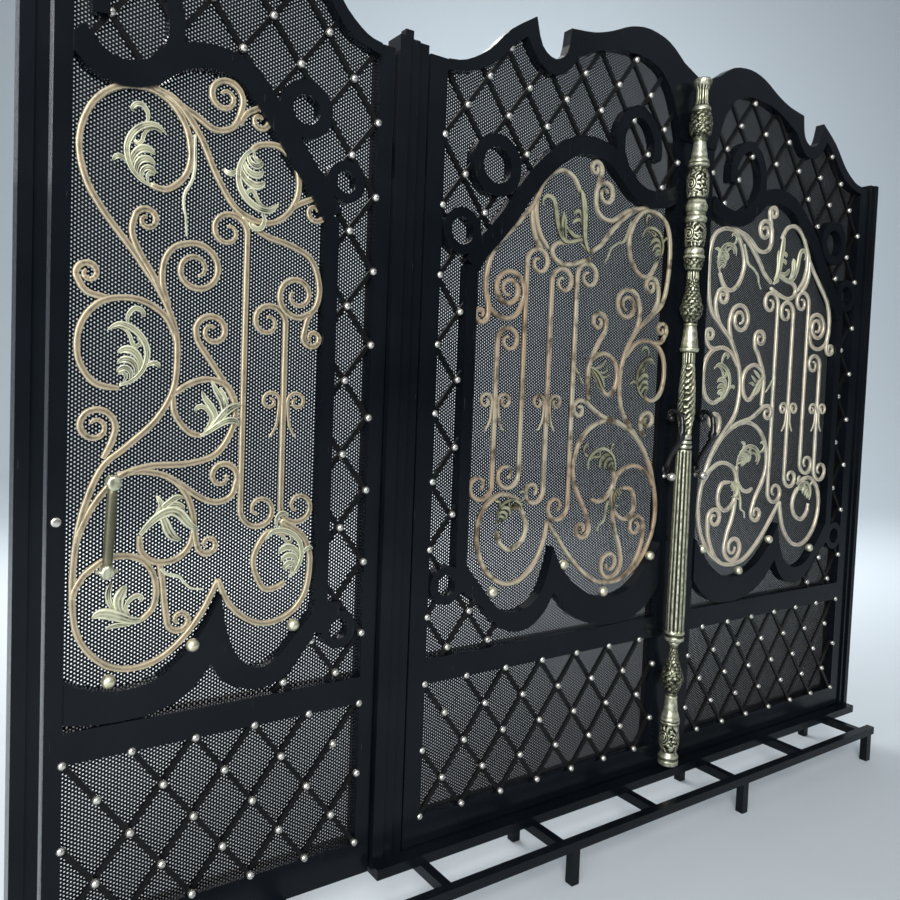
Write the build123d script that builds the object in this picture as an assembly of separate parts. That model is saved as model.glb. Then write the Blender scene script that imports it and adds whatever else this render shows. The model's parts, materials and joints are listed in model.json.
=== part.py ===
from build123d import *
import os
from math import atan2, cos, hypot, pi, radians, sin

# Millimetres. X runs right along the gate, Y away from the viewer, Z up from the floor.
# The origin is on the foot of the left post, at floor level.

# Lattice: half the width and half the height of one diamond set the width of every leaf.
HALF_WIDTH = 77.0
HALF_HEIGHT = 100.0
MAIN_COLUMNS = 13
WICKET_COLUMNS = 10
LOWER_ROWS = 4
LATTICE_BAR = 13.0
LATTICE_LAYER = 9.0

# Leaf frames.
LEAF_DEPTH = 50.0
MAIN_HINGE_STILE = 60.0
WICKET_HINGE_STILE = 44.0
MEETING_STILE = 90.0
LATCH_STILE = 40.0
MID_RAIL = 75.0
BOTTOM_RAIL = 82.0
WICKET_BOTTOM_RAIL = 97.0
WICKET_DROP = 15.0
SHEET = 2.0
BAND_DEPTH = 36.0
BAND_PROUD = 6.0

# Posts, with a front of three steps.
SIDE_POST = 60.0
MIDDLE_POST = 104.0
END_POST = 48.0
POST_PROUD = 16.0
POST_STEP = 8.0
POST_TOP = 2488.0
STOP_BLOCK = 26.0

# Running gaps.
LEAF_GAP = 6.0
LATCH_GAP = 9.0
MEETING_GAP = 16.0
SILL_GAP = 6.0

# Sill and stand.
TUBE = 30.0
LEG_LENGTH = 110.0
SILL_HEIGHT = 30.0
SILL_DEPTH = 102.0
SILL_PROUD = 47.0
STAND_DEPTH = 315.0
SILL_BEHIND_RAIL = 140.0
CROSS_BAR_PITCH = 431.0
CROSS_BARS = 8
LAST_CROSS_BAR = 150.0
STAND_SHORT = 85.0
LEG_OFFSET = 45.0

# Hinges.
HINGE_RADIUS = 10.0
PIN_RADIUS = 6.0
PIN_CLEARANCE = 0.1
KNUCKLE = 45.0
KNUCKLE_GAP = 0.3
PIN_LENGTH = 35.0
LUG = 12.0
LUG_REACH = 34.0
HINGE_STAND_OFF = 15.0
HINGE_HEIGHTS = (140.0, 1050.0, 1980.0)

# Scroll bars and the column.
SCROLL_WIDTH = 14.0
SCROLL_DEPTH = 10.0
SPACER = 8.0
PAIR_WIDTH = 8.0
SLACK = 3.0
PAIR_CLEAR = 11.0
PAIR_CURL = 26.0
COLUMN_RADIUS = 41.0
COLUMN_INSET = 38.0
COLUMN_SIDES = 12
PEG_RADIUS = 9.0

# Pulls, knobs and the wicket's handle.
PULL_RADIUS = 8.0
PULL_PROUD = 74.0
PULL_FOOT = 1260.0
PULL_TOP = 1490.0
KNOB_RADIUS = 16.0
KNOB_STEM = 6.0
KNOB_PROUD = 34.0
KNOB_Z = 1245.0
HANDLE_RADIUS = 7.0
HANDLE_PROUD = 42.0
HANDLE_FOOT = 1072.0
HANDLE_TOP = 1309.0

# Levels.
STAND_TOP = LEG_LENGTH + TUBE
SILL_TOP = STAND_TOP + SILL_HEIGHT
MAIN_BOTTOM = SILL_TOP + SILL_GAP
DATUM = MAIN_BOTTOM + BOTTOM_RAIL + LOWER_ROWS * HALF_HEIGHT
WICKET_DATUM = DATUM - WICKET_DROP

# Depth planes.
FACE = (POST_PROUD - LEAF_DEPTH) / 2
REAR = FACE + LEAF_DEPTH
POST_FRONT = FACE - POST_PROUD
BAND_FRONT = FACE - BAND_PROUD
SHEET_FRONT = BAND_FRONT + BAND_DEPTH
LATTICE_FRONT = FACE + 6.0
SCROLL_FRONT = FACE + 2.0
HINGE_Y = REAR + HINGE_STAND_OFF
SILL_FRONT = FACE - SILL_PROUD
STAND_FRONT = SILL_FRONT - SILL_BEHIND_RAIL

# Places along the gate, from left to right.
MAIN_PANEL = MAIN_COLUMNS * HALF_WIDTH
WICKET_PANEL = WICKET_COLUMNS * HALF_WIDTH
WICKET_WIDTH = LATCH_STILE + WICKET_PANEL + WICKET_HINGE_STILE
MAIN_WIDTH = MAIN_HINGE_STILE + MAIN_PANEL + MEETING_STILE
LEFT = -SIDE_POST / 2
WICKET_LEFT = LEFT + SIDE_POST + LATCH_GAP
WICKET_RIGHT = WICKET_LEFT + WICKET_WIDTH
MIDDLE_LEFT = WICKET_RIGHT + LEAF_GAP
MIDDLE_RIGHT = MIDDLE_LEFT + MIDDLE_POST
LEFT_LEAF_LEFT = MIDDLE_RIGHT + LEAF_GAP
LEFT_LEAF_RIGHT = LEFT_LEAF_LEFT + MAIN_WIDTH
RIGHT_LEAF_LEFT = LEFT_LEAF_RIGHT + MEETING_GAP
RIGHT_LEAF_RIGHT = RIGHT_LEAF_LEFT + MAIN_WIDTH
END_LEFT = RIGHT_LEAF_RIGHT + LEAF_GAP
RIGHT = END_LEFT + END_POST
LEFT_PULL_X = LEFT_LEAF_RIGHT - 82.0
RIGHT_PULL_X = RIGHT_LEAF_LEFT + 74.0
HANDLE_X = WICKET_LEFT + 124.0

os.makedirs("parts", exist_ok=True)


def save(name, solids):
    """Writes one node, a single solid or several that don't touch."""
    solids = list(solids) if isinstance(solids, (list, tuple)) else [solids]
    pieces = [s for shape in solids for s in shape.solids()]
    shape = pieces[0] if len(pieces) == 1 else Compound(children=pieces)
    export_step(shape, f"parts/{name}.step")


def slab(face, front, depth):
    """A front-view face given thickness, from the plane y = front back."""
    return Pos(0, front + depth, 0) * extrude(Plane.XZ * face, amount=depth)


def block(x0, x1, y0, y1, z0, z1):
    """A rectangular bar between its two corners."""
    return Pos((x0 + x1) / 2, (y0 + y1) / 2, (z0 + z1) / 2) * Box(x1 - x0, y1 - y0, z1 - z0)


def rect(u0, u1, v0, v1):
    """A front-view rectangle."""
    return Pos((u0 + u1) / 2, (v0 + v1) / 2) * Rectangle(u1 - u0, v1 - v0)


def outline(*edges):
    """A face inside a closed chain of edges, each a list of points: two make a line, more a smooth curve."""
    chain = []
    for edge in edges:
        line = edge if len(edge) == 2 else smooth(edge, 3)
        chain += [p for p in line[:-1]]
    return make_face(Polyline(*chain, close=True))


def ribbon(points, width):
    """A flat bar of one width along a chain of points, as a front-view face."""
    count = len(points)
    left, right = [], []
    for i, (u, v) in enumerate(points):
        before = points[max(i - 1, 0)]
        after = points[min(i + 1, count - 1)]
        length = hypot(after[0] - before[0], after[1] - before[1])
        du, dv = (after[0] - before[0]) / length, (after[1] - before[1]) / length
        left.append((u - dv * width / 2, v + du * width / 2))
        right.append((u + dv * width / 2, v - du * width / 2))
    return make_face(Polyline(*left, *reversed(right), close=True))


def smooth(points, steps=3):
    """Points along a smooth curve through a few chosen ones."""
    out = []
    last = len(points) - 1
    for i in range(last):
        p = [points[max(i - 1, 0)], points[i], points[i + 1], points[min(i + 2, last)]]
        for k in range(steps):
            t = k / steps
            out.append(tuple(
                0.5 * (2 * p[1][a] + (p[2][a] - p[0][a]) * t
                       + (2 * p[0][a] - 5 * p[1][a] + 4 * p[2][a] - p[3][a]) * t * t
                       + (3 * p[1][a] - p[0][a] - 3 * p[2][a] + p[3][a]) * t ** 3)
                for a in (0, 1)))
    return out + [points[-1]]


def curl(centre, start, turn, inner=0.35, step=45.0):
    """Points of a spiral from a start point in towards its centre, turning by so many degrees."""
    radius = hypot(start[0] - centre[0], start[1] - centre[1])
    angle = atan2(start[1] - centre[1], start[0] - centre[0])
    count = max(int(abs(turn) / step), 3)
    out = []
    for i in range(1, count + 1):
        share = i / count
        r = radius * (1 - (1 - inner) * share)
        a = angle + radians(turn) * share
        out.append((centre[0] + r * cos(a), centre[1] + r * sin(a)))
    return out


# The double gate's leaf, drawn from its hinge side: u from the panel's edge, v from the mid rail's underside.
TOP_RISE = [(0, 1810), (60, 1822), (140, 1870), (220, 1950), (318, 2015)]
TOP_NOTCH = [(318, 2015), (345, 1935), (400, 1908), (448, 1940), (462, 2018)]
TOP_HUMP = [(462, 2018), (560, 2032), (640, 2058), (730, 2097), (820, 2112), (920, 2095), (1001, 2045)]
UNDER_RISE = [(285, 1948), (225, 1900), (160, 1835), (80, 1795), (0, 1778)]
UNDER_NOTCH = [(500, 1940), (450, 1880), (395, 1860), (335, 1885), (285, 1948)]
UNDER_HUMP = [(1001, 1780), (980, 1850), (940, 1935), (870, 1998), (770, 2015), (640, 2000), (500, 1940)]
SHOULDER = 2008.0
SHOULDER_FOOT = UNDER_HUMP[0][1]
HINGE_STILE_TOP = TOP_RISE[0][1]

ARCH = [(1001, 1592), (950, 1566), (880, 1550), (810, 1562), (750, 1602), (690, 1650), (620, 1674), (550, 1674),
        (480, 1652), (420, 1608), (355, 1548), (300, 1480), (250, 1410), (195, 1345), (145, 1293), (111, 1240)]
ARCH_WIDTH = 58.0
HOOK = [(738, 1622), (705, 1690), (712, 1770), (755, 1822), (805, 1832), (855, 1800), (885, 1745), (884, 1685)]
HOOK_WIDTH = 38.0
INNER_BAR = (92.0, 130.0)
INNER_BAR_FOOT = 300.0
RINGS = [((190, 1545), 92, 54), ((70, 1335), 68, 40)]
LOW_RING = ((60, 290), 58, 32)
LOBE_TOP = [[(130, 345), (200, 262), (250, 205), (310, 178), (370, 182), (430, 222), (465, 300), (482, 372)],
            [(482, 372), (510, 318), (550, 270), (610, 220), (690, 185), (770, 177), (850, 197), (920, 250),
             (970, 310), (1001, 345)]]
LOBE_FOOT = [[(1001, 190), (950, 135), (880, 95), (800, 82), (730, 84), (660, 97), (580, 132), (525, 185), (490, 222)],
             [(490, 222), (465, 175), (415, 128), (350, 112), (290, 124), (235, 165), (180, 225), (130, 250)]]

# The wicket's own bands, drawn the same way.
WICKET_ARCH = [(770, 1640), (725, 1592), (665, 1572), (600, 1590), (550, 1632), (490, 1655), (430, 1656), (375, 1640),
               (325, 1590), (270, 1520), (210, 1440), (170, 1390), (131, 1330)]
WICKET_HOOK = [(572, 1610), (548, 1680), (556, 1760), (600, 1822), (645, 1832), (690, 1800), (715, 1750), (714, 1690)]
WICKET_INNER_BAR = (112.0, 150.0)
WICKET_RINGS = [((215, 1588), 74, 38), ((95, 1425), 55, 29)]
WICKET_LOW_RING = ((76, 222), 52, 28)
WICKET_LOBE_TOP = [[(150, 285), (200, 230), (240, 185), (285, 156), (325, 160), (370, 205), (396, 280), (408, 355)],
                   [(408, 355), (450, 275), (500, 215), (560, 170), (630, 155), (710, 165), (770, 195)]]
WICKET_LOBE_FOOT = [[(770, 95), (700, 84), (620, 82), (550, 92), (480, 125), (430, 185)],
                    [(430, 185), (400, 135), (340, 105), (285, 100), (230, 122), (185, 175), (150, 210)]]


def scaled(points, share):
    """The same curve on a panel of another width."""
    return [(u * share, v) for u, v in points]


def moved(ring, share):
    """The same ring, centred as far along a panel of another width."""
    (u, v), outer, inner = ring
    return (u * share, v), outer, inner


class Design:
    """One leaf drawn in its own plane, hinge side at u = 0."""

    def __init__(self, panel, hinge_stile, free_stile, bottom_rail, own):
        share = panel / TOP_HUMP[-1][0]
        drawn = panel / (WICKET_ARCH if own else ARCH)[0][0]
        self.panel, self.hinge_stile, self.free_stile, self.drawn = panel, hinge_stile, free_stile, drawn
        self.low = -LOWER_ROWS * HALF_HEIGHT
        self.foot = self.low - bottom_rail
        self.top_edges = [scaled(e, share) for e in (TOP_RISE, TOP_NOTCH, TOP_HUMP)]
        self.under_edges = [scaled(e, share) for e in (UNDER_HUMP, UNDER_NOTCH, UNDER_RISE)]
        self.arch = scaled(WICKET_ARCH if own else ARCH, drawn)
        self.hook = scaled(WICKET_HOOK if own else HOOK, drawn)
        self.bar = tuple(u * drawn for u in (WICKET_INNER_BAR if own else INNER_BAR))
        self.rings = [moved(ring, drawn) for ring in (WICKET_RINGS if own else RINGS)]
        self.low_ring = moved(WICKET_LOW_RING if own else LOW_RING, drawn)
        self.lobe_top = [scaled(e, drawn) for e in (WICKET_LOBE_TOP if own else LOBE_TOP)]
        self.lobe_foot = [scaled(e, drawn) for e in (WICKET_LOBE_FOOT if own else LOBE_FOOT)]

    def top_band(self):
        """The crest over the leaf, with the corner over the free stile."""
        end = self.panel + self.free_stile
        crest, hinge_top, hinge_under = self.top_edges[-1][-1], self.top_edges[0][0], self.under_edges[-1][-1]
        return outline(*self.top_edges, [crest, (end, SHOULDER)], [(end, SHOULDER), (end, SHOULDER_FOOT)],
                       [(end, SHOULDER_FOOT), (self.panel, SHOULDER_FOOT)], *self.under_edges, [hinge_under, hinge_top])

    def below_crest(self, drop):
        """The panel's area from the mid rail up to a line a little below the crest's outer edge."""
        lowered = [[(u, v - drop) for u, v in e] for e in self.top_edges]
        return outline(*lowered, [lowered[-1][-1], (self.panel, MID_RAIL)], [(self.panel, MID_RAIL), (0, MID_RAIL)],
                       [(0, MID_RAIL), lowered[0][0]])

    def upper_band(self):
        """Arch, hook, rings and inner upright, welded into one plate."""
        face = ribbon(smooth(self.arch, 2), ARCH_WIDTH)
        face += ribbon(smooth(self.hook, 2), HOOK_WIDTH)
        face += rect(*self.bar, INNER_BAR_FOOT, self.arch[-1][1])
        for centre, outer, _ in self.rings:
            face += Pos(*centre) * Circle(outer)
        for centre, _, inner in self.rings:
            face -= Pos(*centre) * Circle(inner)
        return face & rect(0, self.panel, MID_RAIL, SHOULDER)

    def lower_band(self):
        """The two lobes and their ring at the foot of the inner upright."""
        start_top, start_foot = self.lobe_top[0][0], self.lobe_foot[1][-1]
        end_top, end_foot = self.lobe_top[1][-1], self.lobe_foot[0][0]
        face = outline(*self.lobe_top, [end_top, end_foot], *self.lobe_foot, [start_foot, start_top])
        centre, outer, inner = self.low_ring
        face += Pos(*centre) * Circle(outer)
        face += rect(centre[0], start_top[0] + 4, start_foot[1] + 12, INNER_BAR_FOOT)
        face -= Pos(*centre) * Circle(inner)
        return face & rect(0, self.panel, MID_RAIL, INNER_BAR_FOOT + 200)

    def window(self):
        """The area that the arch, the inner upright and the lobes enclose."""
        middle = (self.bar[0] + self.bar[1]) / 2
        line = smooth(self.arch, 2)[:-1] + [(middle, self.arch[-1][1]), (middle, self.lobe_foot[1][-1][1])]
        line += [(self.lobe_top[0][4][0], 140.0), (self.lobe_top[0][-1][0], 240.0), (self.lobe_top[1][4][0], 120.0)]
        line += [(self.panel, 250.0)]
        return make_face(Polyline(*line, close=True))


def lattice(field, datum_rows, panel):
    """Crossing bars inside a front-view area, one layer of slanting bars on the other."""
    tall = datum_rows * HALF_HEIGHT
    layers = []
    for lean in (1, -1):
        bars = []
        first = -2 * datum_rows if lean > 0 else -2
        last = int(panel / HALF_WIDTH) + 2 if lean > 0 else int(panel / HALF_WIDTH) + 2 * datum_rows + 2
        for column in range(first, last, 2):
            u0 = column * HALF_WIDTH
            u1 = u0 + lean * (tall + LOWER_ROWS * HALF_HEIGHT) / HALF_HEIGHT * HALF_WIDTH
            bars.append(ribbon([(u0, -LOWER_ROWS * HALF_HEIGHT), (u1, tall)], LATTICE_BAR))
        layers.append(Sketch(children=[b.face() for b in bars]) & field)
    front = slab(layers[0], LATTICE_FRONT, LATTICE_LAYER)
    back = slab(layers[1], LATTICE_FRONT + LATTICE_LAYER, LATTICE_LAYER)
    return front + back


# Scrolls, each a smooth line that may run into a curl: its points, then the curl's centre, start and turn.
C_HEIGHT = 840.0
MAIN_SCROLLS = [
    ([(925, 1344), (891, 1294), (845, 1287), (800, 1325), (779, 1386), (792, 1445), (830, 1496), (872, 1513),
      (925, 1505), (968, 1475), (988, 1410), (988, 1310), (965, 1205), (902, 1148), (840, 1098), (798, 1040),
      (770, 970), (765, 900), (785, 815), (841, 750), (900, 685), (945, 600), (972, 520), (978, 440), (955, 355),
      (900, 280), (825, 235), (764, 225), (690, 236), (620, 280), (548, 350), (460, 458)], None),
    ([(868, 1523), (818, 1511), (771, 1486), (725, 1449), (683, 1409), (648, 1369), (600, 1338)], None),
    ([(840, 1516), (764, 1496), (698, 1455), (645, 1457), (617, 1485)], ((658, 1535), (614, 1535), -480)),
    ([(616, 1545), (628, 1580)], ((608, 1610), (635, 1606), 400)),
    ([(545, 1520), (510, 1566), (456, 1579), (400, 1549), (364, 1485), (359, 1425), (378, 1368), (418, 1325)], None),
    ([(362, 1494), (341, 1448), (268, 1371), (198, 1298), (172, 1210), (185, 1130), (240, 1096), (295, 1109)],
     ((262, 1184), (322, 1165), 620)),
    ([(343, 1455), (345, 1400), (362, 1352), (388, 1325)], None),
    ([(172, 1180), (183, 1135)], ((156, 1101), (184, 1103), -400)),
    ([(600, 1318), (564, 1303), (521, 1290), (479, 1286), (442, 1301), (432, 1325), (450, 1348), (500, 1357),
      (552, 1372)], None),
    ([(812, 1060), (840, 1110), (850, 1163)], ((785, 1180), (838, 1205), 560)),
    ([(905, 1150), (933, 1194), (939, 1235)], ((898, 1256), (930, 1265), 460)),
    ([(894, 1066), (933, 1059), (968, 1067)], ((964, 1108), (989, 1098), 400)),
    ([(786, 1000), (830, 1048), (887, 1066), (945, 1050), (982, 1008), (990, 940), (970, 878), (925, 855),
      (885, 872)], None),
    ([(620, 850), (614, 925), (620, 975), (658, 1048), (681, 1078)], ((652, 1113), (687, 1109), 440)),
    ([(628, 984), (652, 1002), (690, 1009), (735, 984), (751, 938), (740, 893), (714, 871), (685, 884), (655, 925),
      (629, 957)], None),
    ([(962, 565), (925, 646), (856, 727), (771, 777), (690, 798), (640, 825), (610, 845)],
     ((580, 820), (592, 849), 400)),
    ([(810, 754), (764, 775), (700, 782), (640, 762), (595, 720), (568, 660), (567, 596), (590, 540), (629, 479)],
     ((616, 418), (648, 430), -420)),
    ([(756, 612), (758, 577), (744, 542), (717, 517), (683, 509), (652, 519)], None),
    ([(962, 548), (925, 596), (870, 625), (815, 621), (768, 590), (754, 530), (768, 470), (817, 440), (858, 462),
      (865, 505), (845, 545), (800, 550)], None),
    ([(754, 515), (762, 446), (777, 396), (797, 354)], ((755, 290), (810, 305), -520)),
    ([(825, 235), (867, 265), (896, 308), (914, 354)], ((878, 412), (919, 402), 460)),
    ([(905, 730), (885, 750)], ((914, 784), (879, 779), -420)),
    ([(460, 458), (448, 400), (420, 335), (364, 281), (300, 267), (240, 292), (195, 345), (174, 425), (190, 500),
      (241, 545), (285, 550), (341, 527)], None),
    ([(302, 504), (341, 504), (370, 450), (352, 398), (302, 375), (262, 402), (251, 440)], None),
]
WICKET_SCROLLS = [
    ([(599, 1336), (560, 1332), (520, 1368), (506, 1420), (520, 1486), (560, 1536), (615, 1555), (680, 1540),
      (731, 1490), (755, 1410), (740, 1328), (700, 1260), (631, 1174), (567, 1084), (535, 1007), (528, 940),
      (536, 862), (575, 790), (641, 727), (693, 681), (728, 600), (747, 510), (754, 390), (740, 292), (690, 225),
      (628, 200), (560, 211), (500, 255), (450, 320), (414, 392)], None),
    ([(414, 392), (385, 328), (330, 278), (275, 264), (215, 284), (175, 335), (163, 415), (176, 470), (205, 503),
      (250, 530)], None),
    ([(602, 1560), (544, 1540), (486, 1471), (441, 1381), (389, 1310), (318, 1287), (262, 1312), (229, 1370),
      (233, 1435), (277, 1481), (330, 1479), (357, 1461)], None),
    ([(375, 1296), (318, 1258), (241, 1239), (185, 1210), (160, 1142), (172, 1084)], ((222, 1114), (212, 1058), 460)),
    ([(254, 1319), (235, 1342)], ((178, 1335), (186, 1368), 420)),
    ([(172, 1084), (190, 1058)], ((175, 1008), (202, 1010), -400)),
    ([(580, 1552), (500, 1517), (450, 1492), (403, 1508)], ((426, 1574), (382, 1560), -480)),
    ([(388, 1515), (372, 1545)], ((336, 1537), (342, 1565), 400)),
    ([(550, 1060), (566, 1110), (563, 1165), (540, 1200)], ((487, 1153), (510, 1212), 500)),
    ([(565, 1080), (589, 1129), (618, 1174), (638, 1222)], ((605, 1254), (631, 1265), 400)),
    ([(529, 975), (560, 1037), (625, 1070), (700, 1059), (745, 1005), (750, 930), (715, 874), (660, 862)], None),
    ([(690, 1068), (735, 1078)], ((731, 1119), (757, 1112), 400)),
    ([(383, 832), (402, 871), (447, 936), (478, 980)], ((443, 1007), (485, 1012), 440)),
    ([(534, 852), (500, 876), (454, 890), (405, 876), (380, 825), (390, 762), (430, 705), (500, 684), (590, 680),
      (655, 657), (705, 603), (735, 540)], None),
    ([(536, 850), (531, 805), (499, 763), (466, 752)], None),
    ([(693, 700), (676, 735)], ((711, 774), (667, 764), -480)),
    ([(660, 662), (615, 668), (576, 664), (544, 653), (515, 631), (490, 590), (478, 531), (490, 480), (525, 451),
      (570, 450), (602, 477), (607, 515)], None),
    ([(560, 662), (512, 634), (480, 610), (447, 592), (415, 587), (385, 602)], ((410, 650), (374, 632), -380)),
    ([(478, 545), (475, 508)], ((442, 483), (469, 480), -380)),
    ([(738, 420), (725, 437), (690, 462), (650, 471), (605, 460), (576, 425), (566, 378), (575, 338), (601, 313)],
     None),
    ([(560, 450), (552, 405), (546, 350)], ((508, 302), (539, 308), -400)),
    ([(250, 530), (234, 498), (267, 503), (296, 492), (323, 431), (299, 363), (267, 353), (234, 366)], None),
]
# Upright bars, each with a curl's centre at its foot and at its top.
MAIN_UPRIGHTS = [(225, (176, 580), (270, 1028)), (331, (282, 612), (380, 1279)), (437, (393, 555), (486, 1229)),
                 (546, (496, 500), (596, 1257))]
WICKET_UPRIGHTS = [(361, (310, 562), (410, 1254)), (252, (202, 566), (300, 1041))]
MAIN_PAIRS = (225.0, 437.0)
WICKET_PAIRS = (252.0,)


def thinned(line):
    """The same line without the points that stand less than SLACK off the line between their neighbours."""
    out = [line[0]]
    for i in range(1, len(line) - 1):
        (u0, v0), (u, v), (u1, v1) = out[-1], line[i], line[i + 1]
        off = abs((u - u0) * (v1 - v0) - (v - v0) * (u1 - u0)) / hypot(u1 - u0, v1 - v0)
        if off > SLACK:
            out.append((u, v))
    return out + [line[-1]]


def upright(u, foot, top):
    """A straight bar that runs into a curl at each end."""
    low, high = (u, foot[1]), (u, top[1])
    return list(reversed(curl(foot, low, -390))) + [low, high] + curl(top, high, -420)


def pair(u):
    """Two short bars that curl away from each other on one upright."""
    out = []
    for side in (-1, 1):
        start = (u + side * PAIR_CLEAR, C_HEIGHT)
        tail = [(u + side * 36, C_HEIGHT - 92), (u + side * 18, C_HEIGHT - 60), start]
        out.append(smooth(tail, 2) + curl((start[0] + side * PAIR_CURL, C_HEIGHT), start, -side * 400))
    return out


def scrollwork(scrolls, uprights, pairs, share, limit):
    """A leaf's scroll bars welded where they cross, inside its window, on spacers that reach the sheet."""
    lines = []
    for points, end in scrolls:
        line = smooth(points + ([end[1]] if end else []), 2)
        if end:
            line = line + curl(*end)
        lines.append(line)
    lines += [upright(*bar) for bar in uprights]
    lines = [thinned(scaled(line, share)) for line in lines]
    fine = [scaled(line, share) for u in pairs for line in pair(u)]
    bars = [slab(ribbon(line, SCROLL_WIDTH) & limit, SCROLL_FRONT, SCROLL_DEPTH) for line in lines]
    bars += [slab(ribbon(line, PAIR_WIDTH) & limit, SCROLL_FRONT, SCROLL_DEPTH) for line in fine]
    spacers = []
    for line in lines:
        u, v = line[len(line) // 2]
        foot = rect(u - SPACER / 2, u + SPACER / 2, v - SPACER / 2, v + SPACER / 2) & limit
        if foot.area > SPACER * SPACER / 2:
            spacers.append(slab(foot, SCROLL_FRONT + 1, SHEET_FRONT - SCROLL_FRONT - 1))
    return bars[0].fuse(*bars[1:], *spacers).solids()


def leaf(name, design, scrolls, uprights, pairs, datum, hinge_x, side):
    """Writes one leaf's nodes. side is 1 where the leaf runs right from its hinge and -1 where it runs left."""
    panel, free = design.panel, design.panel + design.free_stile

    def place(shape):
        turned = shape if side > 0 else mirror(shape, about=Plane.YZ)
        return Pos(hinge_x + side * design.hinge_stile, 0, datum) * turned

    def put(node, solids):
        save(f"{name}_{node}", [place(s) for s in solids])

    hinge_stile = block(-design.hinge_stile, 0, FACE, REAR, design.foot, HINGE_STILE_TOP)
    free_stile = block(panel, free, FACE, REAR, design.foot, SHOULDER_FOOT)
    put("stiles", [hinge_stile, free_stile])
    put("rails", [block(0, panel, FACE, REAR, 0, MID_RAIL), block(0, panel, FACE, REAR, design.foot, design.low)])
    put("top_band", [slab(design.top_band(), BAND_FRONT, BAND_DEPTH)])
    upper, lower = design.upper_band(), design.lower_band()
    lower_solid = slab(lower, BAND_FRONT, BAND_DEPTH)
    put("upper_band", [slab(upper, BAND_FRONT, BAND_DEPTH) - lower_solid])
    put("lower_band", [lower_solid])
    back = SHEET_FRONT
    put("sheet", [slab(design.below_crest(25.0), back, SHEET), block(0, panel, back, back + SHEET, design.low, 0)])
    bars_limit = design.below_crest(0.0) - design.top_band() - upper - lower - design.window()
    for centre, outer, _ in list(design.rings) + [design.low_ring]:
        bars_limit -= Pos(*centre) * Circle(outer)
    bars_limit -= rect(design.lobe_foot[1][-3][0] + 40, panel, MID_RAIL, 260)
    top_rows = 21
    put("lattice", [lattice(bars_limit, top_rows, panel)])
    put("lower_lattice", [lattice(rect(0, panel, design.low, 0), 0, panel)])
    window = rect(0, panel, MID_RAIL, SHOULDER) - upper - lower
    put("scrollwork", scrollwork(scrolls, uprights, pairs, design.drawn, window))
    put("hinges", [knuckle(LEAF_GAP / 2 + design.hinge_stile, z, 1) for z in knuckle_levels(design)])
    return place


def knuckle_levels(design):
    """Heights of a leaf's own knuckles, measured like the rest of the leaf."""
    return [design.foot + h + KNUCKLE + KNUCKLE_GAP for h in HINGE_HEIGHTS]


def knuckle(reach, z, side):
    """One hinge barrel with its lug on the back of a leaf, which lies on the given side; bored for the pin."""
    axis = -reach * side
    edge = axis + side * LEAF_GAP / 2
    lug = block(min(edge, axis + side * LUG_REACH), max(edge, axis + side * LUG_REACH), REAR, REAR + LUG, z, z + KNUCKLE)
    barrel = Pos(axis, HINGE_Y, z) * extrude(RegularPolygon(HINGE_RADIUS, 12), amount=KNUCKLE)
    bore = Pos(axis, HINGE_Y, z + KNUCKLE / 2) * Cylinder(PIN_RADIUS + PIN_CLEARANCE, KNUCKLE)
    return lug + barrel - bore


def pin_knuckle(x, z, side):
    """One hinge barrel with its pin and its lug on the back of a post; side points to the post."""
    far = x + side * LUG_REACH
    near = x + side * LEAF_GAP / 2
    lug = block(min(near, far), max(near, far), REAR, REAR + LUG, z, z + KNUCKLE)
    barrel = Pos(x, HINGE_Y, z) * extrude(RegularPolygon(HINGE_RADIUS, 12), amount=KNUCKLE)
    pin = Pos(x, HINGE_Y, z + (KNUCKLE + PIN_LENGTH) / 2) * Cylinder(PIN_RADIUS, KNUCKLE + PIN_LENGTH)
    return lug + barrel + pin


MAIN = Design(MAIN_PANEL, MAIN_HINGE_STILE, MEETING_STILE, BOTTOM_RAIL, False)
WICKET = Design(WICKET_PANEL, WICKET_HINGE_STILE, LATCH_STILE, WICKET_BOTTOM_RAIL, True)
leaf("left", MAIN, MAIN_SCROLLS, MAIN_UPRIGHTS, MAIN_PAIRS, DATUM, LEFT_LEAF_LEFT, 1)
leaf("right", MAIN, MAIN_SCROLLS, MAIN_UPRIGHTS, MAIN_PAIRS, DATUM, RIGHT_LEAF_RIGHT, -1)
leaf("wicket", WICKET, WICKET_SCROLLS, WICKET_UPRIGHTS, WICKET_PAIRS, WICKET_DATUM, WICKET_RIGHT, -1)


def post(x0, x1, foot, steps, side):
    """A post whose front goes back in steps towards one side."""
    near, far = (x0, x1) if side > 0 else (x1, x0)
    tread = (far - near) / (steps + 1)
    front = [(near, POST_FRONT)]
    for i in range(1, steps + 1):
        front.append((near + tread * i, POST_FRONT + POST_STEP * (i - 1)))
        front.append((near + tread * i, POST_FRONT + POST_STEP * i))
    front.append((far, POST_FRONT + POST_STEP * steps))
    section = make_face(Polyline(*front, (far, REAR), (near, REAR), close=True))
    return Pos(0, 0, foot) * extrude(section, amount=POST_TOP - foot)


save("post_left", post(LEFT, LEFT + SIDE_POST, 0, 1, 1))
top_block = block(MIDDLE_LEFT + STOP_BLOCK, MIDDLE_LEFT + 2 * STOP_BLOCK, FACE, FACE + STOP_BLOCK, POST_TOP,
                  POST_TOP + STOP_BLOCK)
save("post_middle", post(MIDDLE_LEFT, MIDDLE_RIGHT, SILL_TOP, 2, 1) + top_block)
save("post_right", post(END_LEFT, RIGHT, SILL_TOP, 1, -1))

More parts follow.
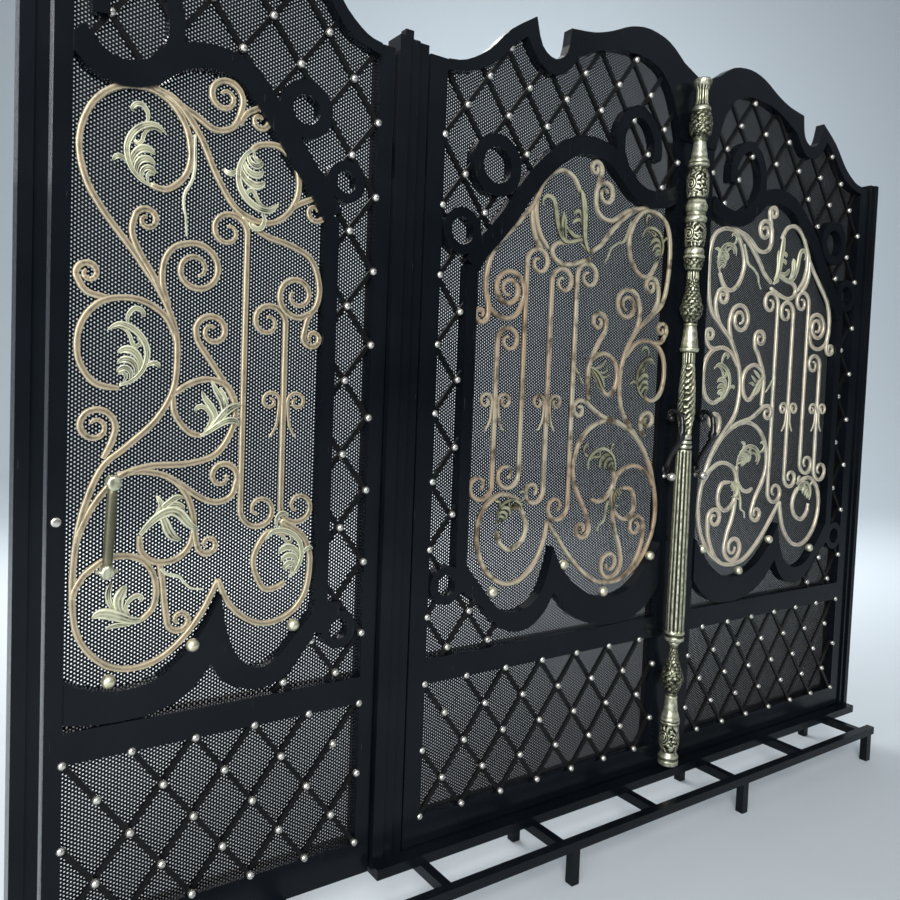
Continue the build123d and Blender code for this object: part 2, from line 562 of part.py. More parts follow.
# Stand: a ladder of square tube on short legs, with a wide sill under the double gate.
save("sill", block(MIDDLE_LEFT, RIGHT, SILL_FRONT, SILL_FRONT + SILL_DEPTH, STAND_TOP, SILL_TOP))
front_rail = STAND_FRONT + TUBE
rear_rail = STAND_FRONT + STAND_DEPTH - TUBE
save("stand_rails", [block(LEFT, RIGHT - STAND_SHORT, y0, y0 + TUBE, LEG_LENGTH, STAND_TOP) for y0 in (STAND_FRONT, rear_rail)])
bar_lefts = [RIGHT - LAST_CROSS_BAR - TUBE - CROSS_BAR_PITCH * i for i in range(CROSS_BARS)]
leg_lefts = [x + LEG_OFFSET for x in bar_lefts[::2]] + [LEFT]
bar_lefts.append(LEFT + SIDE_POST)
save("stand_cross_bars", [block(x, x + TUBE, front_rail, rear_rail, LEG_LENGTH, STAND_TOP) for x in bar_lefts])
legs = []
for x in leg_lefts:
    for y0 in (STAND_FRONT, rear_rail):
        legs.append(block(x, x + TUBE, y0, y0 + TUBE, 0, LEG_LENGTH))
save("stand_legs", legs)

# Post side of the hinges.
pins = []
for x, side, datum, design in ((LEFT_LEAF_LEFT - LEAF_GAP / 2, -1, DATUM, MAIN), (RIGHT_LEAF_RIGHT + LEAF_GAP / 2, 1, DATUM, MAIN),
                               (WICKET_RIGHT + LEAF_GAP / 2, 1, WICKET_DATUM, WICKET)):
    for height in HINGE_HEIGHTS:
        pins.append(pin_knuckle(x, datum + design.foot + height, side))
save("hinge_pins", pins)

# The cast column on the left leaf's meeting stile: (height above the floor, radius) up its length.
COLUMN_X = LEFT_LEAF_RIGHT - COLUMN_INSET
COLUMN_Y = BAND_FRONT - COLUMN_RADIUS
COLUMN_BASE = [(195, 31), (200, 34), (214, 36), (234, 27), (242, 24), (250, 31), (278, 35), (325, 32), (345, 29),
               (352, 32), (362, 33), (376, 31), (404, 24), (452, 20), (460, 21), (480, 31), (510, 41), (530, 38), (560, 27),
               (594, 18), (630, 14), (645, 20)]
COLUMN_SHAFT = [(645, 20), (656, 34), (676, 34), (690, 32), (780, 32), (1016, 30), (1200, 29), (1340, 27), (1353, 24),
                (1367, 22), (1384, 20), (1399, 22), (1480, 31), (1557, 28), (1620, 24), (1690, 22)]
COLUMN_UPPER = [(1690, 22), (1697, 31), (1706, 33), (1718, 29), (1760, 24), (1786, 21), (1800, 24), (1828, 38), (1850, 41),
                (1870, 34), (1914, 25), (1960, 21), (1980, 20), (1989, 27), (2005, 33), (2024, 36), (2050, 33), (2063, 28),
                (2090, 34), (2125, 36), (2148, 31), (2158, 34), (2168, 38), (2184, 34), (2205, 38), (2222, 32), (2230, 29)]
COLUMN_CAP = [(2230, 29), (2240, 37), (2268, 39), (2310, 37), (2330, 30), (2345, 32), (2356, 32), (2364, 30), (2376, 26),
              (2420, 21), (2434, 20), (2442, 26), (2462, 39), (2488, 41), (2520, 37), (2540, 30), (2550, 16), (2585, 16),
              (2606, 21), (2628, 27), (2640, 31), (2646, 29)]


def turned(profile, sides):
    """A turned solid of few flat sides, from its (height, radius) profile."""
    rings = [[(r * cos(2 * pi * k / sides), r * sin(2 * pi * k / sides), z) for k in range(sides)] for z, r in profile]
    faces = [Face(Wire.make_polygon(rings[0], close=True)), Face(Wire.make_polygon(rings[-1], close=True))]
    for low, high in zip(rings, rings[1:]):
        for k in range(sides):
            n = (k + 1) % sides
            faces.append(Face(Wire.make_polygon([low[k], low[n], high[n], high[k]], close=True)))
    return Solid(Shell(faces))


def column_length(profile, peg_height):
    """A turned length of the column with a short peg that holds it to the stile."""
    body = turned(profile, COLUMN_SIDES)
    reach = FACE - COLUMN_Y
    peg = Pos(0, reach / 2, peg_height) * (Rot(90, 0, 0) * Cylinder(PEG_RADIUS, reach))
    return Pos(COLUMN_X, COLUMN_Y, 0) * (body + peg)


for node, profile, peg_height in (("base", COLUMN_BASE, 300), ("shaft", COLUMN_SHAFT, 1016), ("upper", COLUMN_UPPER, 1850),
                                  ("cap", COLUMN_CAP, 2290)):
    save(f"column_{node}", column_length(profile, peg_height))


def pull(x):
    """A curled pull standing off the stile, with a knob on a stem under it."""
    line = smooth([(-PULL_RADIUS, PULL_FOOT + 8), (-30, PULL_FOOT + 60), (-64, PULL_FOOT + 110), (-PULL_PROUD, PULL_FOOT + 150),
                   (-62, PULL_TOP - 34), (-36, PULL_TOP - 16), (-PULL_RADIUS, PULL_TOP - 22)], 2)
    side = Plane.YZ.offset(-PULL_RADIUS) * ribbon(line, 2 * PULL_RADIUS)
    bar = chamfer(extrude(side, amount=2 * PULL_RADIUS).edges().group_by(Axis.X)[0], PULL_RADIUS / 2)
    bar = chamfer(bar.edges().group_by(Axis.X)[-1], PULL_RADIUS / 2)
    lug = Rot(90, 0, 0) * extrude(RegularPolygon(PULL_RADIUS + 3, 8), amount=PULL_RADIUS)
    lugs = [Pos(0, 0, line[i][1]) * lug for i in (0, -1)]
    return Pos(x, FACE, 0) * (bar + lugs[0] + lugs[1])


def knob(x, z):
    """A ball on a stem."""
    profile = [(0, KNOB_STEM), (KNOB_PROUD - KNOB_RADIUS, KNOB_STEM)]
    profile += [(KNOB_PROUD - KNOB_RADIUS * cos(radians(a)), KNOB_RADIUS * sin(radians(a))) for a in range(30, 180, 30)]
    return Pos(x, FACE, z) * (Rot(90, 0, 0) * turned(profile, 12))


for node, x in (("left", LEFT_PULL_X), ("right", RIGHT_PULL_X)):
    save(f"{node}_pull", pull(x))
    save(f"{node}_knob", knob(x, KNOB_Z))

# The wicket's handle, whose arms are welded to the scroll bars behind it.
handle_y = FACE - HANDLE_PROUD
rod = RegularPolygon(HANDLE_RADIUS, 8)
grip = Pos(HANDLE_X, handle_y, HANDLE_FOOT) * extrude(rod, amount=HANDLE_TOP - HANDLE_FOOT)
arms = []
for z in (HANDLE_FOOT + 20, HANDLE_TOP - 16):
    reach = SCROLL_FRONT - handle_y
    arms.append(Pos(HANDLE_X, handle_y + reach, z) * (Rot(90, 0, 0) * extrude(rod, amount=reach)))
cross_bar = Rot(0, 90, 0) * extrude(rod, amount=2 * HANDLE_RADIUS, both=True)
cross = Pos(HANDLE_X, handle_y, HANDLE_FOOT + 20) * cross_bar
save("wicket_handle", grip + arms[0] + arms[1] + cross)
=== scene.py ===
import json
import bpy
from math import atan2, cos, hypot, pi, radians, sin
from mathutils import Matrix, Vector, noise
from mathutils.bvhtree import BVHTree


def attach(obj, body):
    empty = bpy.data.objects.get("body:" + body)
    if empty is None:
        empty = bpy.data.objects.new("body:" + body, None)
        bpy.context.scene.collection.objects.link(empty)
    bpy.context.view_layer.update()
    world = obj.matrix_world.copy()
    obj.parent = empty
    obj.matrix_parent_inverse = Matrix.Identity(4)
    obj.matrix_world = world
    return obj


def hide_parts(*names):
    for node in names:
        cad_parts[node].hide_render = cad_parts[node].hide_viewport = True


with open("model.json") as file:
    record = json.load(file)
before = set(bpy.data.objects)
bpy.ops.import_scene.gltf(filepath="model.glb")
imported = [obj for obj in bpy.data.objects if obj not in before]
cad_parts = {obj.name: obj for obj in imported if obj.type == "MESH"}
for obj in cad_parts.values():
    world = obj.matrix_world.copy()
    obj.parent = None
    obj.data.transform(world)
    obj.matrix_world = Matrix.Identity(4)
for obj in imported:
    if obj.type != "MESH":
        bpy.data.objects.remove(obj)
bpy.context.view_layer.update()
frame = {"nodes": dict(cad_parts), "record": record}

# Millimetres, as in the part's source. X along the gate, Y away from the viewer, Z up from the floor.
MM = 0.001
HALF_WIDTH = 77.0
HALF_HEIGHT = 100.0
FACE = -17.0
BAND_FRONT = -23.0
LATTICE_FRONT = -11.0
SCROLL_FRONT = -15.0
SCROLL_WIDTH = 15.0
UPRIGHT_WIDTH = 14.0
SCROLL_DEPTH = 11.0

# Each leaf: where its panel starts at the hinge side, which way it runs, its height datum, its columns.
LEAVES = {
    "left": (1069.0, 1, 658.0, 13),
    "right": (3267.0, -1, 658.0, 13),
    "wicket": (849.0, -1, 643.0, 10),
}
# The gold of each leaf's scrollwork.
GOLDS = {"left": "rose_gold", "right": "rose_gold", "wicket": "antique_gold"}


# Camera and lights.
def camera():
    """A camera at the photograph's place and angle."""
    data = bpy.data.cameras.new("camera")
    data.sensor_width = 36.0
    data.lens = 32.77
    data.shift_x = 0.0204
    data.shift_y = -0.0281
    data.clip_end = 100.0
    obj = bpy.data.objects.new("camera", data)
    right = Vector((0.82779, -0.55979, 0.03744))
    up = Vector((-0.00451, 0.0601, 0.99818))
    back = Vector((-0.56103, -0.82645, 0.04722))
    turn = Matrix((right, up, back)).transposed().to_4x4()
    obj.matrix_world = Matrix.Translation((-0.2734, -1.9782, 1.5375)) @ turn
    bpy.context.scene.collection.objects.link(obj)
    bpy.context.scene.camera = obj


def lamp(name, place, target, size, power, color):
    """A soft square lamp that faces a point."""
    data = bpy.data.lights.new(name, "AREA")
    data.size = size
    data.energy = power
    data.color = color
    obj = bpy.data.objects.new(name, data)
    obj.location = place
    obj.rotation_euler = (Vector(target) - Vector(place)).to_track_quat("-Z", "Y").to_euler()
    bpy.context.scene.collection.objects.link(obj)


# Materials.
BLACK = (0, 0, 0)
WHITE = (1, 1, 1)
BARE_STEEL = (0.16, 0.165, 0.17)
# Metres: the height where the gold's tone is neutral, with the gold lighter above it and darker below it, and
# the perforated sheet's holes.
TONE_HEIGHT = 1.5
HOLE_ACROSS = 7.45 * MM
HOLE_UPRIGHT = 9.53 * MM
HOLE_RADIUS = 2.35 * MM
# Cast brass from its recesses to its ridges: patina and painted shade in the recesses, rubbed metal and a
# painted highlight on the ridges and plain rings.
BRASS_WEAR_AND_SHADE = ((0.15, (0.012, 0.013, 0.009)), (0.5, (0.12, 0.125, 0.08)), (0.85, (0.48, 0.485, 0.34)),
               (1.0, (0.74, 0.74, 0.56)))
BRASS_STAIN = (0.16, 0.165, 0.11)


def fill_ramp(node, stops):
    """Gives a colour ramp its stops, each a position and a colour."""
    elements = node.color_ramp.elements
    while len(elements) < len(stops):
        elements.new(0.5)
    for element, (position, color) in zip(elements, stops):
        element.position = position
        element.color = (*color, 1)


class Nodes:
    """A material's node tree, with short calls for the nodes used here."""

    def __init__(self, name):
        self.material = bpy.data.materials.new(name)
        self.material.use_nodes = True
        self.tree = self.material.node_tree
        self.shader = self.tree.nodes["Principled BSDF"]

    def add(self, kind, **values):
        node = self.tree.nodes.new(kind)
        for key, value in values.items():
            setattr(node, key, value)
        return node

    def give(self, value, socket):
        """Sets a socket to a colour or a number, or links another node's output to it."""
        if isinstance(value, tuple):
            socket.default_value = (*value, 1)
        elif isinstance(value, (int, float)):
            socket.default_value = value
        else:
            self.tree.links.new(value, socket)

    def shade(self, name, value):
        """Gives the surface's input of that name a value."""
        self.give(value, self.shader.inputs[name])

    def math(self, operation, a, b=None):
        node = self.add("ShaderNodeMath", operation=operation)
        self.give(a, node.inputs[0])
        if b is not None:
            self.give(b, node.inputs[1])
        return node.outputs[0]

    def place(self):
        return self.add("ShaderNodeTexCoord").outputs["Object"]

    def axes(self):
        node = self.add("ShaderNodeSeparateXYZ")
        self.give(self.place(), node.inputs[0])
        return node.outputs

    def noise(self, scale, detail, stretch=None):
        texture = self.add("ShaderNodeTexNoise")
        texture.inputs["Scale"].default_value = scale
        texture.inputs["Detail"].default_value = detail
        coords = self.place()
        if stretch:
            mapping = self.add("ShaderNodeMapping")
            mapping.inputs["Scale"].default_value = stretch
            self.give(coords, mapping.inputs["Vector"])
            coords = mapping.outputs[0]
        self.give(coords, texture.inputs["Vector"])
        return texture.outputs["Fac"]

    def ramp(self, value, *stops):
        node = self.add("ShaderNodeValToRGB")
        fill_ramp(node, stops)
        self.give(value, node.inputs[0])
        return node.outputs[0]

    def mask(self, value, low, high, top=1.0):
        """Black up to a low value, and grey or white from a high one."""
        return self.ramp(value, (low, BLACK), (high, (top, top, top)))

    def mix(self, share, a, b):
        node = self.add("ShaderNodeMix", data_type="RGBA")
        self.give(share, node.inputs["Factor"])
        for name, value in (("A", a), ("B", b)):
            socket = [s for s in node.inputs if s.name == name and s.type == "RGBA"][0]
            self.give(value, socket)
        return [s for s in node.outputs if s.type == "RGBA"][0]

    def bump(self, height, strength, distance):
        node = self.add("ShaderNodeBump")
        node.inputs["Strength"].default_value = strength
        node.inputs["Distance"].default_value = distance
        self.give(height, node.inputs["Height"])
        self.shade("Normal", node.outputs[0])

    def spread(self, value, low, high):
        """A value from 0 to 1, spread from low to high."""
        node = self.add("ShaderNodeMapRange")
        self.give(value, node.inputs[0])
        node.inputs[3].default_value = low
        node.inputs[4].default_value = high
        return node.outputs[0]


def paint(name, color, dust, rough, scratches=0.5, coat=0.0):
    """Brushed-on black paint with dust, uneven gloss, orange peel and a few fine scratches."""
    n = Nodes(name)
    dusty = n.mask(n.noise(3.0, 5.0), 0.35, 0.75)
    long_marks = n.noise(9.0, 6.0, stretch=(60.0, 60.0, 1.2))
    scratched = n.mask(long_marks, 0.735, 0.755, scratches)
    n.shade("Base Color", n.mix(scratched, n.mix(dusty, color, dust), BARE_STEEL))
    n.shade("Roughness", n.spread(n.noise(60.0, 4.0), rough - 0.06, rough + 0.08))
    n.shade("Specular IOR Level", 0.15)
    n.shade("Coat Weight", coat)
    n.shade("Coat Roughness", 0.15)
    n.bump(n.noise(240.0, 2.0), strength=0.12, distance=0.0006)
    return n.material


def gilding(name, deep, body, second, light, rough):
    """Rubbed metallic paint over hammered iron, with painted shade in the hollows and a painted highlight on
    the ridges.
    """
    n = Nodes(name)
    rub = n.noise(26.0, 6.0)
    fine = n.noise(140.0, 5.0)
    # The gold is lighter towards the top and darker towards the bottom.
    higher = n.math("MULTIPLY", n.math("SUBTRACT", n.axes()["Z"], TONE_HEIGHT), 0.12)
    broad = n.math("ADD", n.noise(2.6, 3.0), higher)
    point = n.add("ShaderNodeNewGeometry").outputs["Pointiness"]
    # Pointiness finds the ridges, which get the light colour as a painted highlight, and the hollows, which
    # get the deep colour as painted shade.
    ridge = n.mask(point, 0.49, 0.545)
    hollow_shade = n.ramp(point, (0.42, WHITE), (0.48, BLACK))
    toned = n.mix(n.mask(broad, 0.42, 0.60), second, body)
    # The deep colour stands both for rubbed patches and for painted shade in the hollows.
    base = n.mix(hollow_shade, n.mix(n.mask(rub, 0.33, 0.50), deep, toned), deep)
    # The painted highlight: the light colour on the ridges, broken up by fine noise.
    painted_highlight = n.math("MULTIPLY", ridge, n.spread(fine, 0.35, 1.0))
    n.shade("Base Color", n.mix(painted_highlight, base, light))
    n.shade("Metallic", 0.5)
    n.shade("Roughness", n.spread(rub, rough - 0.08, rough + 0.14))
    dents = n.math("ADD", n.noise(90.0, 3.0), n.math("MULTIPLY", fine, 0.4))
    n.bump(dents, strength=0.5, distance=0.0012)
    return n.material


def perforated(name):
    """Black sheet with round holes in staggered columns, cut through by the shader."""
    n = Nodes(name)
    axes = n.axes()
    column = n.math("DIVIDE", axes["X"], HOLE_ACROSS)
    number = n.math("FLOOR", column)
    sideways = n.math("MULTIPLY", n.math("SUBTRACT", n.math("SUBTRACT", column, number), 0.5), HOLE_ACROSS)
    shift = n.math("MULTIPLY", n.math("FLOORED_MODULO", number, 2.0), 0.5)
    row = n.math("ADD", n.math("DIVIDE", axes["Z"], HOLE_UPRIGHT), shift)
    upward = n.math("MULTIPLY", n.math("SUBTRACT", n.math("FRACT", row), 0.5), HOLE_UPRIGHT)
    squares = n.math("ADD", n.math("MULTIPLY", sideways, sideways), n.math("MULTIPLY", upward, upward))
    reach = n.math("SQRT", squares)
    n.shade("Alpha", n.math("GREATER_THAN", reach, HOLE_RADIUS))
    n.shade("Base Color", n.mix(n.noise(4.0, 4.0), (0.004, 0.004, 0.0045), (0.010, 0.010, 0.011)))
    n.shade("Specular IOR Level", 0.14)
    n.shade("Roughness", n.spread(n.noise(50.0, 3.0), 0.38, 0.55))
    n.bump(reach, strength=0.2, distance=0.0005)
    return n.material


def aged_brass(name):
    """Cast brass: black-green patina and painted shade in its recesses, rubbed metal and a painted highlight
    on its ridges.
    """
    n = Nodes(name)
    wear_and_shade = n.add("ShaderNodeAttribute", attribute_name="wear_and_shade").outputs["Fac"]
    spots = n.noise(60.0, 6.0)
    patches = n.math("MULTIPLY", n.mask(spots, 0.45, 0.62), n.spread(wear_and_shade, 0.15, 0.75))
    n.shade("Base Color", n.mix(patches, n.ramp(wear_and_shade, *BRASS_WEAR_AND_SHADE), BRASS_STAIN))
    n.shade("Metallic", 0.8)
    n.shade("Roughness", n.spread(spots, 0.22, 0.46))
    n.bump(n.noise(190.0, 4.0), strength=0.35, distance=0.0007)
    return n.material


def studs_metal(name, light, dark, rough):
    """Polished studs, a little stained."""
    n = Nodes(name)
    stain = n.noise(80.0, 4.0)
    n.shade("Base Color", n.mix(n.mask(stain, 0.4, 0.7), light, dark))
    n.shade("Metallic", 0.9)
    n.shade("Roughness", n.spread(stain, rough, rough + 0.15))
    n.bump(n.noise(300.0, 2.0), strength=0.15, distance=0.0004)
    return n.material


materials = {
    "frame_black": paint("frame_black", (0.0028, 0.0042, 0.0060), (0.006, 0.008, 0.011), rough=0.22),
    "lattice_black": paint("lattice_black", (0.0035, 0.0038, 0.0042), (0.008, 0.0085, 0.009), rough=0.34,
                           scratches=0.25),
    "gloss_black": paint("gloss_black", (0.006, 0.006, 0.007), (0.012, 0.012, 0.014), rough=0.16,
                         scratches=0.2, coat=0.6),
    "perforated_sheet": perforated("perforated_sheet"),
    # In each gilding, deep is the colour of the rubbed patches and of the painted shade in the hollows, and
    # light is the colour of the painted highlight on the ridges.
    "rose_gold": gilding("rose_gold", deep=(0.12, 0.09, 0.055), body=(0.64, 0.575, 0.42),
                         second=(0.54, 0.405, 0.275), light=(0.96, 0.92, 0.75), rough=0.30),
    "antique_gold": gilding("antique_gold", deep=(0.035, 0.025, 0.016), body=(0.25, 0.185, 0.115),
                            second=(0.17, 0.12, 0.08), light=(0.80, 0.69, 0.47), rough=0.32),
    "leaf_gold": gilding("leaf_gold", deep=(0.04, 0.042, 0.024), body=(0.53, 0.53, 0.35),
                         second=(0.38, 0.385, 0.24), light=(0.95, 0.95, 0.73), rough=0.34),
    "aged_brass": aged_brass("aged_brass"),
    "dark_bronze": gilding("dark_bronze", deep=(0.012, 0.012, 0.008), body=(0.045, 0.042, 0.026),
                           second=(0.025, 0.023, 0.015), light=(0.20, 0.19, 0.12), rough=0.34),
    "pale_metal": studs_metal("pale_metal", (0.78, 0.76, 0.70), (0.42, 0.40, 0.35), rough=0.18),
    "ball_gold": studs_metal("ball_gold", (0.88, 0.85, 0.64), (0.62, 0.57, 0.38), rough=0.28),
}
for entry in frame["record"]["subparts"]:
    node = frame["nodes"][entry["node"]]
    for slot in node.material_slots:
        slot.material = materials[entry["material_slot"]]


# Curves, drawn in a leaf's own plane: u from the hinge side of its panel, v from the mid rail's underside.
def smooth(points, steps=6):
    """Points along a smooth curve through a few chosen ones."""
    out = []
    last = len(points) - 1
    for i in range(last):
        p = [points[max(i - 1, 0)], points[i], points[i + 1], points[min(i + 2, last)]]
        for k in range(steps):
            t = k / steps
            out.append(tuple(
                0.5 * (2 * p[1][a] + (p[2][a] - p[0][a]) * t
                       + (2 * p[0][a] - 5 * p[1][a] + 4 * p[2][a] - p[3][a]) * t * t
                       + (3 * p[1][a] - p[0][a] - 3 * p[2][a] + p[3][a]) * t ** 3)
                for a in (0, 1)))
    return out + [points[-1]]


def curl(centre, start, turn, inner=0.24, step=10.0):
    """Points of a spiral from a start point in towards its centre, turning by so many degrees."""
    radius = hypot(start[0] - centre[0], start[1] - centre[1])
    angle = atan2(start[1] - centre[1], start[0] - centre[0])
    count = max(int(abs(turn) / step), 3)
    out = []
    for i in range(1, count + 1):
        share = i / count
        r = radius * (1 - (1 - inner) * share)
        a = angle + radians(turn) * share
        out.append((centre[0] + r * cos(a), centre[1] + r * sin(a)))
    return out


# An upright's curls turn so many degrees at its foot and at its top.
FOOT_TURN = -430
TOP_TURN = -460
UPRIGHT_STEPS = 12
# A pair's two short bars: from the upright, the curls' reach and turn, and the tail below them.
PAIR_HEIGHT = 840.0
PAIR_CLEAR = 11.0
PAIR_CURL = 26.0
PAIR_TURN = 450
PAIR_TAIL = ((36.0, -92.0), (18.0, -60.0))


def upright(u, foot, top):
    """A straight bar that runs into a curl at each end."""
    low, high = (u, foot[1]), (u, top[1])
    rise = top[1] - foot[1]
    middle = [(u, foot[1] + rise * k / UPRIGHT_STEPS) for k in range(1, UPRIGHT_STEPS)]
    return list(reversed(curl(foot, low, FOOT_TURN))) + [low] + middle + [high] + curl(top, high, TOP_TURN)


def pair(u):
    """Two short bars that curl away from each other on one upright."""
    out = []
    for side in (-1, 1):
        start = (u + side * PAIR_CLEAR, PAIR_HEIGHT)
        tail = [(u + side * aside, PAIR_HEIGHT + rise) for aside, rise in PAIR_TAIL] + [start]
        out.append(smooth(tail) + curl((start[0] + side * PAIR_CURL, PAIR_HEIGHT), start, -side * PAIR_TURN))
    return out


# Scroll bars: the points each runs through, then its curl's centre, the curl's start and how far it turns.
MAIN_SCROLLS = [
    ([(925, 1344), (891, 1294), (845, 1287), (800, 1325), (779, 1386), (792, 1445), (830, 1496),
      (872, 1513), (925, 1505), (968, 1475), (988, 1410), (988, 1310), (965, 1205), (902, 1148),
      (840, 1098), (798, 1040), (770, 970), (765, 900), (785, 815), (841, 750), (900, 685), (945, 600),
      (972, 520), (978, 440), (955, 355), (900, 280), (825, 235), (764, 225), (690, 236), (620, 280),
      (548, 350), (460, 458)], None),
    ([(868, 1523), (818, 1511), (771, 1486), (725, 1449), (683, 1409), (648, 1369), (600, 1338)], None),
    ([(840, 1516), (764, 1496), (698, 1455), (645, 1457), (617, 1485)], ((658, 1535), (614, 1535), -480)),
    ([(616, 1545), (628, 1580)], ((608, 1610), (635, 1606), 400)),
    ([(545, 1520), (510, 1566), (456, 1579), (400, 1549), (364, 1485), (359, 1425), (378, 1368),
      (418, 1325)], None),
    ([(362, 1494), (341, 1448), (268, 1371), (198, 1298), (172, 1210), (185, 1130), (240, 1096), (295, 1109)],
     ((262, 1184), (322, 1165), 620)),
    ([(343, 1455), (345, 1400), (362, 1352), (388, 1325)], None),
    ([(172, 1180), (183, 1135)], ((156, 1101), (184, 1103), -400)),
    ([(600, 1318), (564, 1303), (521, 1290), (479, 1286), (442, 1301), (432, 1325), (450, 1348), (500, 1357),
      (552, 1372)], None),
    ([(812, 1060), (840, 1110), (850, 1163)], ((785, 1180), (838, 1205), 560)),
    ([(905, 1150), (933, 1194), (939, 1235)], ((898, 1256), (930, 1265), 460)),
    ([(894, 1066), (933, 1059), (968, 1067)], ((964, 1108), (989, 1098), 400)),
    ([(786, 1000), (830, 1048), (887, 1066), (945, 1050), (982, 1008), (990, 940), (970, 878), (925, 855),
      (885, 872)], None),
    ([(620, 850), (614, 925), (620, 975), (658, 1048), (681, 1078)], ((652, 1113), (687, 1109), 440)),
    ([(628, 984), (652, 1002), (690, 1009), (735, 984), (751, 938), (740, 893), (714, 871), (685, 884),
      (655, 925), (629, 957)], None),
    ([(962, 565), (925, 646), (856, 727), (771, 777), (690, 798), (640, 825), (610, 845)],
     ((580, 820), (592, 849), 400)),
    ([(810, 754), (764, 775), (700, 782), (640, 762), (595, 720), (568, 660), (567, 596), (590, 540),
      (629, 479)], ((616, 418), (648, 430), -420)),
    ([(756, 612), (758, 577), (744, 542), (717, 517), (683, 509), (652, 519)], None),
    ([(962, 548), (925, 596), (870, 625), (815, 621), (768, 590), (754, 530), (768, 470), (817, 440),
      (858, 462), (865, 505), (845, 545), (800, 550)], None),
    ([(754, 515), (762, 446), (777, 396), (797, 354)], ((755, 290), (810, 305), -520)),
    ([(825, 235), (867, 265), (896, 308), (914, 354)], ((878, 412), (919, 402), 460)),
    ([(905, 730), (885, 750)], ((914, 784), (879, 779), -420)),
    ([(460, 458), (448, 400), (420, 335), (364, 281), (300, 267), (240, 292), (195, 345), (174, 425),
      (190, 500), (241, 545), (285, 550), (341, 527)], None),
    ([(302, 504), (341, 504), (370, 450), (352, 398), (302, 375), (262, 402), (251, 440)], None),
]
WICKET_SCROLLS = [
    ([(599, 1336), (560, 1332), (520, 1368), (506, 1420), (520, 1486), (560, 1536), (615, 1555),
      (680, 1540), (731, 1490), (755, 1410), (740, 1328), (700, 1260), (631, 1174), (567, 1084),
      (535, 1007), (528, 940), (536, 862), (575, 790), (641, 727), (693, 681), (728, 600), (747, 510),
      (754, 390), (740, 292), (690, 225), (628, 200), (560, 211), (500, 255), (450, 320),
      (414, 392)], None),
    ([(414, 392), (385, 328), (330, 278), (275, 264), (215, 284), (175, 335), (163, 415), (176, 470),
      (205, 503), (250, 530)], None),
    ([(602, 1560), (544, 1540), (486, 1471), (441, 1381), (389, 1310), (318, 1287), (262, 1312), (229, 1370),
      (233, 1435), (277, 1481), (330, 1479), (357, 1461)], None),
    ([(375, 1296), (318, 1258), (241, 1239), (185, 1210), (160, 1142), (172, 1084)],
     ((222, 1114), (212, 1058), 460)),
    ([(254, 1319), (235, 1342)], ((178, 1335), (186, 1368), 420)),
    ([(172, 1084), (190, 1058)], ((175, 1008), (202, 1010), -400)),
    ([(580, 1552), (500, 1517), (450, 1492), (403, 1508)], ((426, 1574), (382, 1560), -480)),
    ([(388, 1515), (372, 1545)], ((336, 1537), (342, 1565), 400)),
    ([(550, 1060), (566, 1110), (563, 1165), (540, 1200)], ((487, 1153), (510, 1212), 500)),
    ([(565, 1080), (589, 1129), (618, 1174), (638, 1222)], ((605, 1254), (631, 1265), 400)),
    ([(529, 975), (560, 1037), (625, 1070), (700, 1059), (745, 1005), (750, 930), (715, 874),
      (660, 862)], None),
    ([(690, 1068), (735, 1078)], ((731, 1119), (757, 1112), 400)),
    ([(383, 832), (402, 871), (447, 936), (478, 980)], ((443, 1007), (485, 1012), 440)),
    ([(534, 852), (500, 876), (454, 890), (405, 876), (380, 825), (390, 762), (430, 705), (500, 684),
      (590, 680), (655, 657), (705, 603), (735, 545), (747, 505)], None),
    ([(536, 850), (531, 805), (499, 763), (466, 752)], None),
    ([(693, 700), (676, 735)], ((711, 774), (667, 764), -480)),
    ([(660, 662), (615, 668), (576, 664), (544, 653), (515, 631), (490, 590), (478, 531), (490, 480),
      (525, 451), (570, 450), (602, 477), (607, 515)], None),
    ([(560, 662), (512, 634), (480, 610), (447, 592), (415, 587), (385, 602)],
     ((410, 650), (374, 632), -380)),
    ([(478, 545), (475, 508)], ((442, 483), (469, 480), -380)),
    ([(754, 378), (749, 400), (738, 420), (725, 437), (690, 462), (650, 471), (605, 460), (576, 425),
      (566, 378), (575, 338), (601, 313)], None),
    ([(560, 450), (552, 405), (546, 350)], ((508, 302), (539, 308), -400)),
    ([(250, 530), (234, 498), (267, 503), (296, 492), (323, 431), (299, 363), (267, 353), (234, 366)], None),
]
# Upright bars, each with a curl's centre at its foot and at its top.
MAIN_UPRIGHTS = [(225, (176, 580), (270, 1028)), (331, (282, 612), (380, 1279)),
                 (437, (393, 555), (486, 1229)), (546, (496, 500), (596, 1257))]
WICKET_UPRIGHTS = [(361, (310, 562), (410, 1254)), (252, (202, 566), (300, 1041))]
MAIN_PAIRS = (225.0, 437.0)
WICKET_PAIRS = (252.0,)


def at(leaf, u, v, y):
    """A point of a leaf's plane in metres."""
    start, side, datum, _ = LEAVES[leaf]
    return Vector((start + side * u, y, datum + v)) * MM


def build(name, verts, faces, material, body, rounded=True):
    """A mesh piece that rides on a body."""
    mesh = bpy.data.meshes.new(name)
    mesh.from_pydata([tuple(v) for v in verts], [], faces)
    mesh.validate()
    mesh.update()
    if rounded:
        mesh.polygons.foreach_set("use_smooth", [True] * len(mesh.polygons))
    mesh.materials.append(materials[material])
    obj = bpy.data.objects.new(name, mesh)
    bpy.context.scene.collection.objects.link(obj)
    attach(obj, body)
    return obj


def skin(faces, first, count, sides):
    """Joins rings of points, counted from the first point, and closes the first and the last ring."""
    for i in range(count - 1):
        for k in range(sides):
            a, b = first + i * sides + k, first + i * sides + (k + 1) % sides
            faces.append((a, b, b + sides, a + sides))
    faces.append(tuple(first + k for k in reversed(range(sides))))
    faces.append(tuple(first + (count - 1) * sides + k for k in range(sides)))


